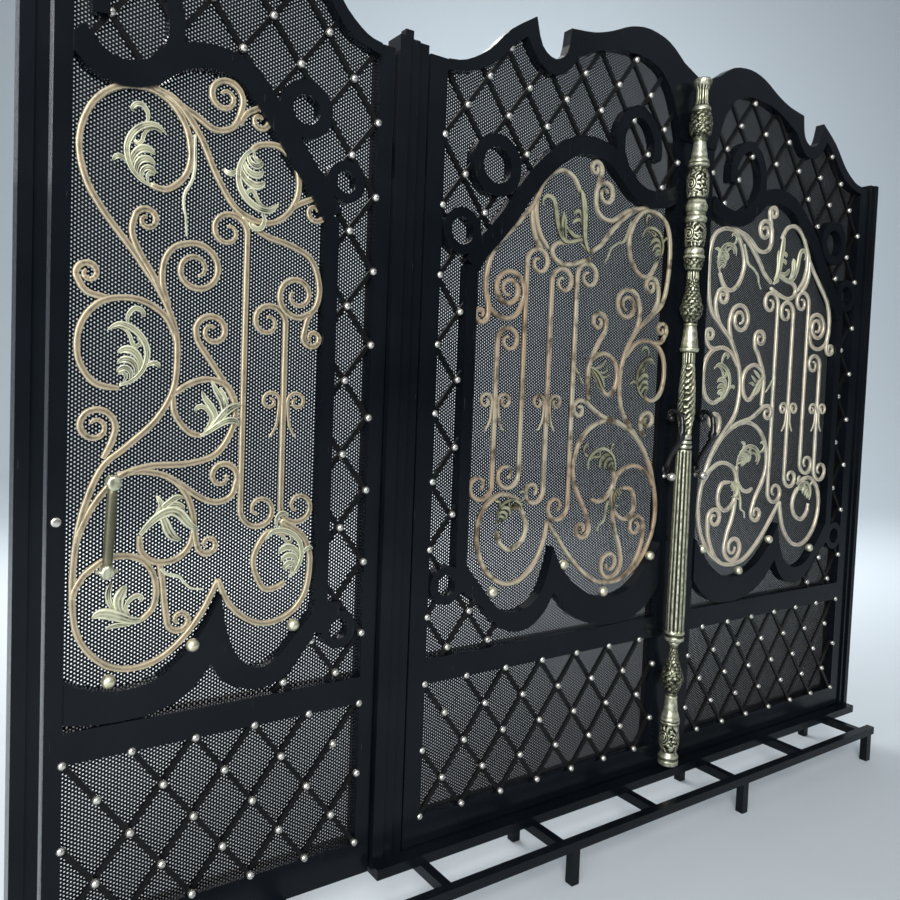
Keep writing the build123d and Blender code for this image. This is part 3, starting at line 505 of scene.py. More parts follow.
# A bar's section: share of the half width, share of the depth.
SECTION = [(-0.86, 0.0), (-1.0, 0.25), (-1.0, 0.66), (-0.86, 0.92), (-0.62, 1.0), (0.0, 0.90), (0.62, 1.0),
           (0.86, 0.92), (1.0, 0.66), (1.0, 0.25), (0.86, 0.0)]
# An end that tapers keeps this share of its width; a cut end is only eased over its last points.
TAPERED = 0.55
TAPER_REACH = 30
CUT = 0.8
CUT_REACH = 4
# Bars that cross lie at a few levels, and each curl turns a little further than drawn.
LEVELS = 4
LEVEL_STEP = 0.4
CURL_STRETCH = 1.08
PAIR_WIDTH = 9.5
PAIR_DEPTH = 8.0
PAIR_REACH = 14


def along(line, i):
    """Unit direction of a line at one of its points."""
    before, after = line[max(i - 1, 0)], line[min(i + 1, len(line) - 1)]
    length = hypot(after[0] - before[0], after[1] - before[1]) or 1.0
    return (after[0] - before[0]) / length, (after[1] - before[1]) / length


def hammered(i, u, v):
    """A bar's width at one of its points, as a share: two slow waves."""
    return 1.0 + 0.045 * sin(i * 1.9 + u * 0.04) + 0.03 * sin(i * 0.7 + v * 0.03)


def bar(verts, faces, leaf, line, width, depth, y, tapers=(False, False), reach=TAPER_REACH):
    """Adds a hammered flat bar with eased edges along a line; an end that tapers thins out."""
    count = len(line)
    first = len(verts)
    for i, (u, v) in enumerate(line):
        du, dv = along(line, i)
        size = hammered(i, u, v)
        for tapered, near in ((tapers[0], i), (tapers[1], count - 1 - i)):
            if tapered and near < reach:
                size *= TAPERED + (1 - TAPERED) * near / reach
            elif not tapered and near < CUT_REACH:
                size *= CUT + (1 - CUT) * near / CUT_REACH
        for across, out in SECTION:
            step = across * width / 2 * size
            verts.append(at(leaf, u - dv * step, v + du * step, y + depth - out * depth * min(size, 1.0)))
    skin(faces, first, count, len(SECTION))


def scrollwork(leaf, scrolls, uprights, pairs):
    """A leaf's scroll bars as flat, hammered bars that thin out into their curls."""
    verts, faces = [], []
    for order, (points, end) in enumerate(scrolls):
        if end:
            centre, start, turn = end
            line = smooth(points + [start]) + curl(centre, start, turn * CURL_STRETCH)
        else:
            line = smooth(points)
        front = SCROLL_FRONT - LEVEL_STEP * (order % LEVELS)
        bar(verts, faces, leaf, line, SCROLL_WIDTH, SCROLL_DEPTH, front, (False, bool(end)))
    for each in uprights:
        bar(verts, faces, leaf, upright(*each), UPRIGHT_WIDTH, SCROLL_DEPTH, SCROLL_FRONT, (True, True))
    for u in pairs:
        for line in pair(u):
            bar(verts, faces, leaf, line, PAIR_WIDTH, PAIR_DEPTH, SCROLL_FRONT, (True, True), PAIR_REACH)
    piece = build(f"{leaf}_scrolls", verts, faces, GOLDS[leaf], f"{leaf}_leaf")
    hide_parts(f"{leaf}_scrollwork")


scrollwork("left", MAIN_SCROLLS, MAIN_UPRIGHTS, MAIN_PAIRS)
scrollwork("right", MAIN_SCROLLS, MAIN_UPRIGHTS, MAIN_PAIRS)
scrollwork("wicket", WICKET_SCROLLS, WICKET_UPRIGHTS, WICKET_PAIRS)

# Wavy tendrils, thinner than the scrolls.
TENDRIL_WIDTH = 8.0
TENDRIL_REACH = 20
MAIN_TENDRILS = [[(787, 1467), (771, 1428), (754, 1395), (721, 1380), (692, 1359), (681, 1332), (665, 1308)],
                 [(737, 512), (725, 477), (719, 442), (696, 427), (689, 404)],
                 [(548, 962), (566, 940), (580, 922), (596, 905)]]
WICKET_TENDRILS = [[(498, 1470), (497, 1395), (503, 1361), (519, 1329), (521, 1300), (515, 1271),
                    (512, 1229)],
                   [(560, 438), (543, 419), (513, 409), (499, 393), (481, 377), (451, 371)]]
for leaf in LEAVES:
    verts, faces = [], []
    for points in (WICKET_TENDRILS if leaf == "wicket" else MAIN_TENDRILS):
        bar(verts, faces, leaf, smooth(points), TENDRIL_WIDTH, TENDRIL_WIDTH, SCROLL_FRONT, (False, True),
            TENDRIL_REACH)
    build(f"{leaf}_tendrils", verts, faces, "leaf_gold", f"{leaf}_leaf")


# Studs on the lattice's crossings.
def ball(verts, faces, centre, radius, flat=1.0, rings=6, sides=10):
    """Adds a ball, flattened in depth by a share."""
    first = len(verts)
    verts.append(centre + Vector((0, -radius * flat, 0)) * MM)
    for i in range(1, rings):
        polar = pi * i / rings
        for k in range(sides):
            a = 2 * pi * k / sides
            out = sin(polar) * radius
            verts.append(centre + Vector((out * cos(a), -cos(polar) * radius * flat, out * sin(a))) * MM)
    verts.append(centre + Vector((0, radius * flat, 0)) * MM)
    last = len(verts) - 1
    for k in range(sides):
        n = (k + 1) % sides
        faces.append((first, first + 1 + n, first + 1 + k))
        for i in range(rings - 2):
            a, b = first + 1 + i * sides, first + 1 + (i + 1) * sides
            faces.append((a + k, a + n, b + n, b + k))
        end = first + 1 + (rings - 2) * sides
        faces.append((end + k, end + n, last))


def tree(*names):
    """A search tree over some CAD nodes."""
    verts, faces = [], []
    for name in names:
        mesh = frame["nodes"][name].data
        first = len(verts)
        verts += [v.co.copy() for v in mesh.vertices]
        faces += [tuple(first + i for i in p.vertices) for p in mesh.polygons]
    return BVHTree.FromPolygons(verts, faces)


STUD_RADIUS = 11.5
STUD_FRONT = LATTICE_FRONT - 2.0
# Studs and balls are a little flatter than they are wide.
FLATNESS = 0.9
# Rows of crossings, counted from the mid rail's underside; the lower lattice has the ones under 0.
LOWEST_ROW = -4
TOP_ROW = 21
# A crossing on the panel's edge is looked for a little inwards, from well in front of the gate.
INWARD = 6.0
UP_OR_DOWN = 4.0
PROBE_Y = -400.0
BACKWARDS = Vector((0, 1, 0))


def nudge(number, lowest, highest, step):
    """How far a probe on the first or the last line of crossings is moved inwards."""
    if number == lowest:
        return step
    return -step if number == highest else 0.0


for leaf, (*_, columns) in LEAVES.items():
    bars = tree(f"{leaf}_lattice", f"{leaf}_lower_lattice")
    plates = tree(f"{leaf}_top_band", f"{leaf}_upper_band", f"{leaf}_lower_band")
    verts, faces = [], []
    for row in range(LOWEST_ROW, TOP_ROW + 1):
        for column in range(columns + 1):
            if (row + column) % 2:
                continue
            u, v = column * HALF_WIDTH, row * HALF_HEIGHT
            aside = nudge(column, 0, columns, INWARD)
            rise = nudge(row, LOWEST_ROW, 0, UP_OR_DOWN)
            probe = at(leaf, u + aside, v + rise, PROBE_Y)
            covered = plates.ray_cast(probe, BACKWARDS)[0] is not None
            crossed = bars.ray_cast(probe, BACKWARDS)[0] is not None
            if crossed and not covered:
                ball(verts, faces, at(leaf, u, v, STUD_FRONT), STUD_RADIUS, FLATNESS)
    build(f"{leaf}_studs", verts, faces, "pale_metal", f"{leaf}_leaf")

# Balls on the lobes.
BALL_RADIUS = 17.0
BALL_FRONT = SCROLL_FRONT - 4
MAIN_BALLS = [(238, 250), (533, 308), (723, 198), (953, 302)]
WICKET_BALLS = [(673, 180), (477, 237), (210, 252)]
for leaf in LEAVES:
    verts, faces = [], []
    for u, v in (WICKET_BALLS if leaf == "wicket" else MAIN_BALLS):
        ball(verts, faces, at(leaf, u, v, BALL_FRONT), BALL_RADIUS, FLATNESS, rings=8, sides=16)
    build(f"{leaf}_balls", verts, faces, "ball_gold", f"{leaf}_leaf")


# Cast acanthus leaves, each made of ridged lobes: points from the leaf's root in millimetres, then the width.
CURLED = [
    ([(-17, 138), (-14, 152), (-17, 165), (-28, 177), (-42, 176), (-50, 166), (-45, 159)], 13),
    ([(-54, 42), (-66, 51), (-76, 54), (-85, 50), (-89, 42)], 13),
    ([(0, 0), (-25, 9), (-46, 29), (-57, 52), (-60, 79), (-53, 102), (-39, 121), (-21, 134), (1, 140),
      (17, 134), (30, 122)], 16),
    ([(-9, 6), (-13, 20), (-5, 29), (4, 24)], 10),
    ([(-24, 10), (-25, 28), (-15, 39), (-2, 38), (7, 29)], 15),
    ([(-38, 20), (-36, 42), (-25, 56), (-8, 59), (6, 50)], 18),
    ([(-50, 36), (-46, 56), (-37, 72), (-22, 82), (-6, 81), (5, 73)], 20),
    ([(20, 127), (4, 133), (-12, 127), (-22, 112), (-26, 98), (-34, 91), (-43, 96), (-44, 106),
      (-36, 111)], 10),
]
SPRAY = [
    ([(0, 0), (16, 21), (34, 38), (54, 50), (74, 54), (92, 45), (110, 25), (123, 13), (139, 8)], 26),
    ([(40, 42), (50, 40), (58, 24), (65, 6), (78, -10), (97, -18)], 24),
    ([(28, 34), (46, 58), (64, 74), (84, 86), (102, 84)], 17),
    ([(22, 28), (38, 50), (46, 68), (42, 82), (35, 92)], 13),
    ([(36, 40), (56, 62), (78, 70), (96, 64), (104, 54)], 15),
]
FAN = [
    ([(0, 0), (21, 12), (47, 30), (70, 39), (88, 36), (95, 23)], 17),
    ([(10, 6), (31, 24), (47, 45), (63, 62), (83, 74), (101, 76)], 20),
    ([(28, 22), (46, 42), (56, 62), (50, 88), (35, 112), (24, 136)], 19),
    ([(36, 34), (56, 56), (60, 80), (55, 100), (46, 121)], 13),
    ([(20, 18), (36, 38), (33, 56), (20, 76), (8, 92), (1, 110)], 17),
    ([(10, 8), (25, 40), (16, 62), (0, 72), (-13, 66), (-11, 56)], 12),
]
LYING = [
    ([(0, 0), (-26, 5), (-52, 17), (-79, 27), (-98, 28), (-112, 20)], 27),
    ([(-8, -2), (-37, -3), (-62, -3), (-82, -9)], 12),
    ([(-30, 6), (-50, 32), (-54, 56), (-46, 74), (-36, 88)], 27),
    ([(-26, 8), (-36, 36), (-28, 54), (-12, 62), (0, 54), (-5, 44)], 13),
    ([(-52, 20), (-72, 48), (-77, 76), (-68, 100)], 15),
]
SPREAD = [
    ([(0, 0), (16, -6), (35, -22), (53, -45), (64, -68)], 14),
    ([(2, -3), (26, -31), (40, -55), (58, -73)], 12),
    ([(12, -3), (33, 1), (50, 14), (68, 29)], 13),
    ([(33, -11), (53, -16), (68, -6), (78, 7)], 10),
    ([(46, -26), (66, -31), (78, -23), (90, -26)], 10),
]
SCROLLED = [
    ([(0, 0), (-18, 27), (-27, 55), (-30, 87), (-32, 115), (-37, 142), (-41, 165), (-46, 186),
      (-50, 197)], 28),
    ([(-115, 27), (-124, 50), (-129, 78), (-124, 103), (-118, 115)], 16),
    ([(-101, 25), (-110, 46), (-115, 69), (-114, 92), (-117, 108)], 11),
    ([(-12, 10), (-29, 37), (-50, 34), (-78, 26), (-106, 23), (-126, 34), (-140, 55), (-149, 78), (-154, 103),
      (-159, 126), (-170, 147), (-188, 154), (-204, 147), (-209, 133), (-200, 117)], 21),
    ([(-37, 92), (-44, 115), (-57, 126), (-71, 121), (-76, 113)], 16),
    ([(-32, 73), (-41, 96), (-55, 98), (-69, 94), (-79, 84)], 16),
    ([(-32, 50), (-50, 46), (-73, 46), (-92, 59), (-106, 73)], 18),
    ([(-10, 18), (-19, 45), (-21, 80), (-20, 112), (-26, 138)], 13),
    ([(-4, 2), (-22, 12), (-36, 26)], 11),
]
# Where each leaf sits: its kind, root, turn as the viewer sees it, size, and whether it is mirrored.
MAIN_LEAVES = [
    (SCROLLED, (589, 1335), 0, 1.0, False), (CURLED, (927, 1346), 38, 0.90, True),
    (CURLED, (896, 862), -4, 1.0, False), (SPREAD, (622, 961), 0, 1.0, False),
    (CURLED, (760, 608), 73, 1.0, True), (CURLED, (800, 550), 150, 0.48, True),
    (CURLED, (249, 455), -57, 0.78, False),
]
WICKET_LEAVES = [
    (CURLED, (595, 1333), 0, 1.0, False), (CURLED, (341, 1468), 192, 1.1, True),
    (CURLED, (660, 870), 0, 1.0, True), (FAN, (468, 752), 0, 1.0, False), (SPRAY, (607, 518), 0, 1.0, False),
    (LYING, (600, 313), 0, 1.0, False), (CURLED, (224, 379), 21, 0.96, True),
]
# A lobe's section: share of its half width, share of its relief.
LOBE = [(-1.0, -0.2), (-0.88, 0.7), (-0.68, 1.0), (-0.34, -0.25), (0.0, 1.15), (0.34, -0.25), (0.68, 1.0),
        (0.88, 0.7), (1.0, -0.2), (0.0, -0.7)]
# A lobe: its width at the root, where it is widest, how blunt its tip is, and the least width it keeps.
LOBE_ROOT = 0.42
LOBE_WIDEST = 0.62
LOBE_BLUNTNESS = 0.75
LOBE_LEAST = 0.06
# Its bow and its rise towards the tip, and the relief of its ridges, which keeps a least share at the tip.
LOBE_BOW = 5.0
LOBE_RISE = 2.0
LOBE_RELIEF = 4.6
LEAST_RELIEF = 0.3
# How far behind the scrolls' front a leaf's first lobe lies, and how far each next one lies behind it.
LOBE_SET_BACK = 1.5
LOBE_STEP = 0.9


def lobe(verts, faces, leaf, line, width, deep):
    """Adds one ridged lobe that widens from its base, bows towards the viewer and closes to a rounded tip."""
    count = len(line)
    first = len(verts)
    for i, (u, v) in enumerate(line):
        share = i / (count - 1)
        du, dv = along(line, i)
        size = LOBE_ROOT + (1 - LOBE_ROOT) * sin(pi / 2 * min(share / LOBE_WIDEST, 1.0))
        if share > LOBE_WIDEST:
            closing = (share - LOBE_WIDEST) / (1 - LOBE_WIDEST)
            size *= max(cos(pi / 2 * closing), 0.0) ** LOBE_BLUNTNESS
        size = max(size, LOBE_LEAST)
        front = deep - LOBE_BOW * sin(pi * share) - LOBE_RISE * share
        relief = LOBE_RELIEF * max(size, LEAST_RELIEF)
        for across, out in LOBE:
            step = across * width / 2 * size
            verts.append(at(leaf, u - dv * step, v + du * step, front - out * relief))
    skin(faces, first, count, len(LOBE))


def placed(points, leaf, root, turn, size, mirrored):
    """A lobe's points in its leaf's plane, turned as the viewer sees them."""
    view = -1 if leaf == "wicket" else 1
    a = radians(turn)
    out = []
    for x, y in points:
        x = -x if mirrored else x
        aside, rise = x * cos(a) - y * sin(a), x * sin(a) + y * cos(a)
        out.append((root[0] + view * size * aside, root[1] + size * rise))
    return out


for leaf in LEAVES:
    verts, faces = [], []
    for kind, root, turn, size, mirrored in (WICKET_LEAVES if leaf == "wicket" else MAIN_LEAVES):
        for order, (points, width) in enumerate(kind):
            line = smooth(placed(points, leaf, root, turn, size, mirrored), 5)
            lobe(verts, faces, leaf, line, width * size, SCROLL_FRONT + LOBE_SET_BACK + LOBE_STEP * order)
    build(f"{leaf}_acanthus", verts, faces, "leaf_gold", f"{leaf}_leaf")


# The cast column stands with its widest ring against the bands. PEGS are the heights where it is held.
COLUMN_X = 2122.0
COLUMN_RADIUS = 41.0
COLUMN_Y = BAND_FRONT - COLUMN_RADIUS
COLUMN_SIDES = 108
PEGS = {"base": 300, "shaft": 1016, "upper": 1850, "cap": 2290}
PEG_RADIUS = 9.0
PEG_TONE = 0.5
# How deep each carving goes, and how far apart its rings lie.
DEPTHS = {"flute": 4.0, "acanthus": 8.5, "leaves": 3.6, "volutes": 3.2, "": 0.0}
RING_STEPS = {"flute": 3.5, "acanthus": 2.2, "leaves": 2.2, "volutes": 2.2, "": 3.5}
# Each carving's repeats around the column, and the height of a row of it.
FLUTES = 12
ACANTHUS_ROUND = 3
ACANTHUS_ROW = 22.0
LEAVES_ROUND = 9
LEAVES_ROW = 11.0
VOLUTES_ROUND = 3
# A volute's radius, and the width over which it passes into the petals around it.
VOLUTE_REACH = 22.0
VOLUTE_EDGE = 6.0
PETALS = 13.0
# The carvings' unevenness, in turns of the noise a millimetre.
NOISE_SCALE = 0.055
# A ring that is narrower than its neighbours is a groove, and is darkened with painted shade.
GROOVE_REACH = 9
GROOVE_DEPTH = 2.5
GROOVE_SHADE = 0.9
# (height, radius, carving) up each casting.
COLUMN = {
    "base": [(195, 31, ""), (198, 35, ""), (212, 36, ""), (216, 33, ""), (222, 33, ""), (226, 36, ""),
             (236, 30, ""), (246, 25, ""), (250, 31, "volutes"), (280, 36, "volutes"), (325, 33, "volutes"),
             (346, 30, ""), (349, 34, ""), (355, 35, ""), (358, 31, ""), (361, 34, ""), (367, 34, ""),
             (371, 31, ""), (404, 24, ""), (440, 21, ""), (448, 22, ""), (452, 19, ""), (460, 21, "leaves"),
             (480, 31, "leaves"), (510, 41, "leaves"), (530, 38, "leaves"), (560, 27, "leaves"),
             (594, 18, "leaves"), (630, 14, ""), (645, 20, "")],
    "shaft": [(645, 20, ""), (652, 33, ""), (664, 35, ""), (668, 31, ""), (674, 31, ""), (678, 35, ""),
              (686, 34, ""), (690, 32, "flute"), (780, 32, "flute"), (1016, 30, "flute"), (1200, 29, "flute"),
              (1340, 27, ""), (1346, 23, ""), (1352, 26, ""), (1358, 27, ""), (1362, 22, ""), (1368, 25, ""),
              (1374, 25, ""), (1378, 21, ""), (1384, 24, ""), (1392, 24, ""), (1399, 22, "acanthus"),
              (1480, 31, "acanthus"), (1557, 29, "acanthus"), (1620, 25, "acanthus"), (1652, 22, "flute"),
              (1690, 22, "")],
    "upper": [(1690, 22, ""), (1694, 31, ""), (1700, 33, ""), (1704, 33, ""), (1708, 30, ""),
              (1712, 30, ""), (1716, 29, ""), (1760, 24, ""), (1786, 21, ""), (1790, 24, ""),
              (1795, 21, ""), (1800, 24, "leaves"), (1828, 38, "leaves"), (1850, 41, "leaves"),
              (1870, 34, "leaves"), (1914, 25, "leaves"), (1950, 21, "flute"), (1980, 20, ""),
              (1985, 27, ""), (1989, 30, "leaves"), (2005, 34, "leaves"), (2024, 36, ""), (2030, 37, ""),
              (2034, 33, ""), (2050, 33, ""), (2060, 28, ""), (2066, 33, "volutes"), (2090, 36, "volutes"),
              (2125, 37, "volutes"), (2146, 32, ""), (2152, 36, ""), (2160, 38, ""), (2166, 36, ""),
              (2172, 32, ""), (2184, 32, ""), (2190, 36, ""), (2200, 38, ""), (2206, 38, ""),
              (2214, 34, ""), (2230, 29, "")],
    "cap": [(2230, 29, ""), (2236, 36, "volutes"), (2268, 39, "volutes"), (2306, 38, "volutes"),
            (2322, 33, "leaves"), (2340, 31, ""), (2344, 36, ""), (2350, 37, ""), (2354, 33, ""),
            (2358, 35, ""), (2364, 34, ""), (2368, 30, ""), (2376, 28, ""), (2420, 22, ""), (2430, 21, ""),
            (2436, 24, ""), (2442, 27, "leaves"), (2462, 39, "leaves"), (2488, 41, "leaves"),
            (2520, 37, "leaves"), (2534, 31, ""), (2538, 33, ""), (2546, 31, ""), (2554, 24, "flute"),
            (2572, 20, "flute"), (2604, 20, "flute"), (2622, 25, ""), (2628, 29, ""), (2634, 31, ""),
            (2642, 31, ""), (2646, 28, "")],
}


def uneven(angle, z, radius):
    """Slow noise, so that no two leaves of a carving are the same."""
    here = Vector((radius * cos(angle), radius * sin(angle), z)) * NOISE_SCALE
    return noise.noise(here) + 0.5 * noise.noise(here * 2.3)


def from_middle(turns, repeats, shift):
    """Place across one repeat of a carving, from -1 to 1."""
    return ((turns * repeats + shift) % 1.0 - 0.5) * 2


def clamp(value, low=0.0, high=1.0):
    return min(max(value, low), high)


def carving(kind, angle, z, radius, low, high):
    """How deep a point lies in the carving: 0 on its ridges, 1 in its recesses."""
    sway = uneven(angle, z, radius)
    turns = angle / (2 * pi)
    if kind == "flute":
        return max(cos(FLUTES * angle), 0.0) ** 0.5
    if kind == "acanthus":
        aside = from_middle(turns, ACANTHUS_ROUND, 0.375 + 0.12 * sway)
        blade = ((z - low) / ACANTHUS_ROW + 0.6 * sway - 1.3 * aside - 0.7 * aside * aside) % 1.0
        return clamp(max(1.7 * blade - 0.4, 14.0 * (abs(aside) - 0.90)))
    if kind == "leaves":
        row = (z - low) / LEAVES_ROW + 0.8 * sway
        aside = abs(from_middle(turns, LEAVES_ROUND, 0.5 * (int(row) % 2) + 0.35 * sway))
        vein = 0.3 * abs(sin(aside * 9.0 + row * 4.0))
        return min(aside ** 3 + (row % 1.0) ** 3 + vein, 1.0) * 0.9
    if kind == "volutes":
        across = from_middle(turns, VOLUTES_ROUND, 0.05 * sway) * pi * radius / VOLUTES_ROUND
        up = z - (low + high) / 2
        reach = hypot(across, up * 0.85)
        around = atan2(up, across)
        swirl = sin(around - reach * 0.75 + 1.3 * sway)
        petals = sin(around * PETALS + 4.0 * sway)
        edge = clamp((reach - VOLUTE_REACH) / VOLUTE_EDGE)
        return clamp(0.35 - 0.9 * (swirl * (1 - edge) + petals * edge))
    return 0.0


def rings_of(profile):
    """A profile's rings, each with its height, radius, carving and that carving's reach."""
    out = []
    low = profile[0][0]
    for i, ((z0, r0, kind), (z1, r1, following)) in enumerate(zip(profile, profile[1:])):
        high = next((z for z, _, other in profile[i + 1:] if other != kind), profile[-1][0])
        steps = max(int((z1 - z0) / RING_STEPS[kind]), 1)
        for k in range(steps):
            share = k / steps
            eased = share * share * (3 - 2 * share)
            out.append((z0 + (z1 - z0) * share, r0 + (r1 - r0) * eased, kind, low, high))
        if following != kind:
            low = z1
    return out + [(profile[-1][0], profile[-1][1], "", 0, 0)]


def tube(verts, faces, path, sides):
    """Adds a closed tube through points, each with its own radius."""
    first = len(verts)
    for i, (centre, radius) in enumerate(path):
        run = (path[min(i + 1, len(path) - 1)][0] - path[max(i - 1, 0)][0]).normalized()
        across = run.cross(Vector((1, 0, 0)) if abs(run.x) < 0.8 else Vector((0, 0, 1))).normalized()
        other = run.cross(across)
        for k in range(sides):
            a = 2 * pi * k / sides
            verts.append((centre + (across * cos(a) + other * sin(a)) * radius) * MM)
    skin(faces, first, len(path), sides)


def mark_wear_and_shade(piece, values):
    """Tells the cast brass how high each point stands in its relief, which sets both how rubbed it is and its
    painted shade and highlight: 0 in a recess, 1 on a ridge.
    """
    piece.data.attributes.new("wear_and_shade", "FLOAT", "POINT").data.foreach_set("value", values)


for part, profile in COLUMN.items():
    verts, faces, wear_and_shade = [], [], []
    rings = rings_of(profile)
    for z, radius, kind, low, high in rings:
        near = [ring[1] for ring in rings if abs(ring[0] - z) < GROOVE_REACH]
        # How much painted shade a groove gets, from how far it sinks below its neighbours.
        groove = clamp((sum(near) / len(near) - radius) / GROOVE_DEPTH, high=GROOVE_SHADE)
        for k in range(COLUMN_SIDES):
            a = 2 * pi * k / COLUMN_SIDES
            depth = carving(kind, a, z, radius, low, high)
            r = radius - DEPTHS[kind] * depth
            # Recesses and grooves get painted shade, and ridges and plain rings get a painted highlight.
            wear_and_shade.append(1.0 - max(depth, groove))
            verts.append(Vector((COLUMN_X + r * cos(a), COLUMN_Y + r * sin(a), z)) * MM)
    skin(faces, 0, len(rings), COLUMN_SIDES)
    tube(verts, faces, [(Vector((COLUMN_X, y, PEGS[part])), PEG_RADIUS) for y in (COLUMN_Y, FACE)], sides=16)
    wear_and_shade += [PEG_TONE] * (len(verts) - len(wear_and_shade))
    piece = build(f"carved_{part}", verts, faces, "aged_brass", "left_leaf")
    mark_wear_and_shade(piece, wear_and_shade)
    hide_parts(f"column_{part}")

# Pulls: a curled bar with a thick grip, standing off the stile, and a knob on a stem under it.
PULLS = {"left": 2078.0, "right": 2250.0}
# (distance from the face, height, radius) along the bar; (distance, radius) of the rose at its foot.
PULL_FOOT = 1268
PULL = [(8, PULL_FOOT, 10), (15, 1296, 10), (26, 1320, 10), (42, 1346, 10), (57, 1368, 10), (64, 1380, 10.5),
        (66, 1384, 14), (69, 1406, 14.5), (70, 1412, 10.5), (70, 1436, 9.5), (65, 1458, 9), (54, 1473, 9),
        (39, 1480, 9), (24, 1479, 10.5), (13, 1470, 12), (12, 1458, 13), (21, 1453, 13), (31, 1457, 10)]
PULL_ROSE = ((0, 15), (5, 15), (8, 10))
# The knob's stem as (distance, radius), then its ball.
KNOB_Z = 1245.0
KNOB_RADIUS = 16
KNOB_PROUD = 34
KNOB = [(0, 9), (3, 9), (5, 6), (15, 6)]
KNOB += [(KNOB_PROUD - KNOB_RADIUS * cos(radians(a)), KNOB_RADIUS * sin(radians(a)))
         for a in range(24, 176, 12)]


def turned(x, z, shape):
    """Path of a round piece that stands off the gate: its shape is (distance from the face, radius)."""
    return [(Vector((x, FACE - out, z)), radius) for out, radius in shape]


for leaf, x in PULLS.items():
    verts, faces = [], []
    tube(verts, faces, [(Vector((x, FACE - out, z)), radius) for out, z, radius in PULL], sides=20)
    tube(verts, faces, turned(x, PULL_FOOT, PULL_ROSE), sides=20)
    piece = build(f"{leaf}_curled_pull", verts, faces, "gloss_black", f"{leaf}_leaf")
    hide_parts(f"{leaf}_pull")
    verts, faces = [], []
    tube(verts, faces, turned(x, KNOB_Z, KNOB), sides=24)
    piece = build(f"{leaf}_round_knob", verts, faces, "pale_metal", f"{leaf}_leaf")
    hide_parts(f"{leaf}_knob")

# A bright round rose on the wicket's latch stile, let into its face.
LOCK_X = 58
LOCK_Z = 1203
LOCK_ROSE = ((-2, 11.5), (2, 11.5), (4, 10), (5, 5))
verts, faces = [], []
tube(verts, faces, turned(LOCK_X, LOCK_Z, LOCK_ROSE), sides=24)
build("wicket_lock_rose", verts, faces, "pale_metal", "wicket_leaf")

# The wicket's handle: a dark bar that leans a little, held by two pale blocks.
HANDLE_Y = -62.0
HANDLE_FOOT = Vector((158.0, HANDLE_Y, 1092.0))
HANDLE_TOP = Vector((168.0, HANDLE_Y, 1293.0))
GRIP_RADIUS = 11.5
GRIP_WAVE = 0.6
GRIP_STEPS = 8
# A block's stem as (Y, radius), the block on it as (height, radius), and the cross bar at the foot.
BLOCK_STEM = ((-79, 12), (-77, 16), (-62, 17), (-50, 15), (-47, 8), (-10, 7.5))
BLOCK = ((-17, 9), (-15, 13.5), (15, 13.5), (17, 9))
CROSS_REACH = 24
CROSS_RADIUS = 4.5
BLOCK_TONE = 0.95

grip = []
for step in range(GRIP_STEPS + 1):
    wave = GRIP_WAVE * cos(2 * pi * step / GRIP_STEPS)
    grip.append((HANDLE_FOOT.lerp(HANDLE_TOP, step / GRIP_STEPS), GRIP_RADIUS - wave))
verts, faces = [], []
tube(verts, faces, grip, sides=20)
dark = build("wicket_grip", verts, faces, "dark_bronze", "wicket_leaf")
verts, faces = [], []
for end in (HANDLE_FOOT, HANDLE_TOP):
    tube(verts, faces, [(Vector((end.x, y, end.z)), radius) for y, radius in BLOCK_STEM], sides=8)
    tube(verts, faces, [(end + Vector((0, 0, rise)), radius) for rise, radius in BLOCK], sides=8)
cross = [HANDLE_FOOT - Vector((step, 0, 0)) for step in (-CROSS_REACH, 0, CROSS_REACH)]
tube(verts, faces, [(centre, CROSS_RADIUS) for centre in cross], sides=10)
blocks = build("wicket_grip_blocks", verts, faces, "aged_brass", "wicket_leaf", rounded=False)
mark_wear_and_shade(blocks, [BLOCK_TONE] * len(verts))
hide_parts("wicket_handle")

# Floor that sweeps up into a backdrop, square to the camera's view. Metres.
VIEW = Vector((0.5615, 0.8275, 0))
WIDE = Vector((0.8275, -0.5615, 0))
STAGE_CENTRE = Vector((1.0, 0, 0))
STAGE_NEAR = -14.0
STAGE_HALF_WIDTH = 16.0
BEND_START = 9.0
BEND_RADIUS = 4.0
BEND_STEPS = 12
STAGE_TOP = 14.0
FLOOR_COLOR = (0.58, 0.635, 0.675)

sweep = [(STAGE_NEAR, 0.0), (BEND_START, 0.0)]
for step in range(1, BEND_STEPS + 1):
    a = pi / 2 * step / BEND_STEPS
    sweep.append((BEND_START + BEND_RADIUS * sin(a), BEND_RADIUS * (1 - cos(a))))
sweep.append((BEND_START + BEND_RADIUS, STAGE_TOP))
stage_verts = []
for reach, height in sweep:
    for aside in (-STAGE_HALF_WIDTH, STAGE_HALF_WIDTH):
        stage_verts.append(STAGE_CENTRE + VIEW * reach + WIDE * aside + Vector((0, 0, height)))
stage_faces = [(2 * i, 2 * i + 1, 2 * i + 3, 2 * i + 2) for i in range(len(sweep) - 1)]
stage_mesh = bpy.data.meshes.new("floor")
stage_mesh.from_pydata([tuple(v) for v in stage_verts], [], stage_faces)
stage_mesh.polygons.foreach_set("use_smooth", [True] * len(stage_faces))
floor_nodes = Nodes("floor")
floor_nodes.shade("Base Color", FLOOR_COLOR)
floor_nodes.shade("Roughness", 0.7)
stage_mesh.materials.append(floor_nodes.material)
floor = bpy.data.objects.new("floor", stage_mesh)
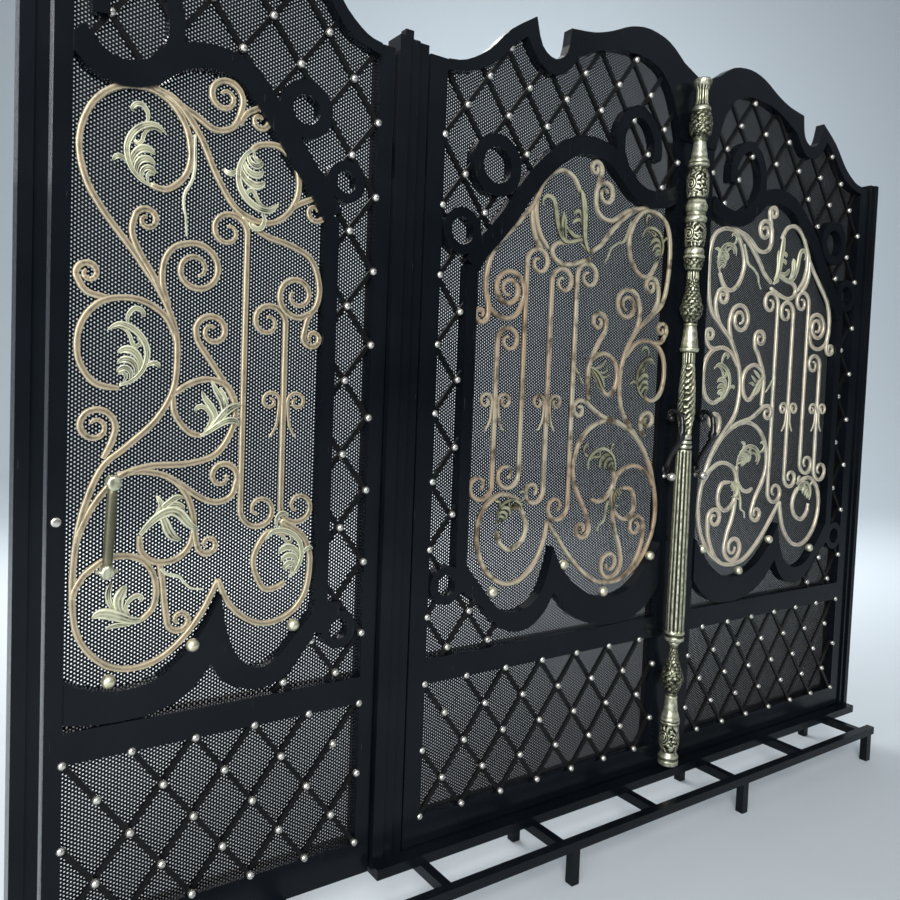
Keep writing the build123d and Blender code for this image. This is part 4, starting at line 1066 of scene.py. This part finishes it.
bpy.context.scene.collection.objects.link(floor)

# The sky that the metal mirrors, by height, and the plain one that the camera sees.
SKY = [(0.0, (0.16, 0.17, 0.18)), (0.05, (0.05, 0.055, 0.06)), (0.16, (0.10, 0.11, 0.125)),
       (0.36, (0.66, 0.76, 0.86)), (1.0, (0.95, 0.97, 1.0))]
SKY_STRENGTH = 0.55
PLAIN_SKY = (0.60, 0.66, 0.70, 1)

world = bpy.data.worlds.new("world")
bpy.context.scene.world = world
world.use_nodes = True
sky = world.node_tree.nodes
links = world.node_tree.links
mirrored_sky = sky["Background"]
heights = sky.new("ShaderNodeSeparateXYZ")
tone = sky.new("ShaderNodeValToRGB")
fill_ramp(tone, SKY)
links.new(sky.new("ShaderNodeTexCoord").outputs["Generated"], heights.inputs[0])
links.new(heights.outputs["Z"], tone.inputs[0])
links.new(tone.outputs[0], mirrored_sky.inputs[0])
mirrored_sky.inputs[1].default_value = SKY_STRENGTH
plain_sky = sky.new("ShaderNodeBackground")
plain_sky.inputs[0].default_value = PLAIN_SKY
seen = sky.new("ShaderNodeMixShader")
links.new(sky.new("ShaderNodeLightPath").outputs["Is Camera Ray"], seen.inputs[0])
links.new(mirrored_sky.outputs[0], seen.inputs[1])
links.new(plain_sky.outputs[0], seen.inputs[2])
links.new(seen.outputs[0], sky["World Output"].inputs[0])

# Lamps: place, target, size in metres, power in watts, colour.
LAMPS = {
    "key": ((-2.5, -5.0, 4.6), (1.2, 0, 1.2), 3.0, 420, (1.0, 0.97, 0.93)),
    "fill": ((-4.6, -3.2, 2.0), (1.8, 0, 1.2), 2.6, 170, (0.93, 0.96, 1.0)),
    "back": ((1.5, 4.5, 4.5), (1.5, 0, 1.4), 3.5, 220, (1.0, 0.98, 0.95)),
    "backdrop": ((5.0, 2.5, 5.5), (7.5, 10.0, 1.5), 4.0, 640, (0.97, 0.99, 1.0)),
}
camera()
for name, settings in LAMPS.items():
    lamp(name, *settings)
bpy.context.scene.view_settings.view_transform = "Standard"
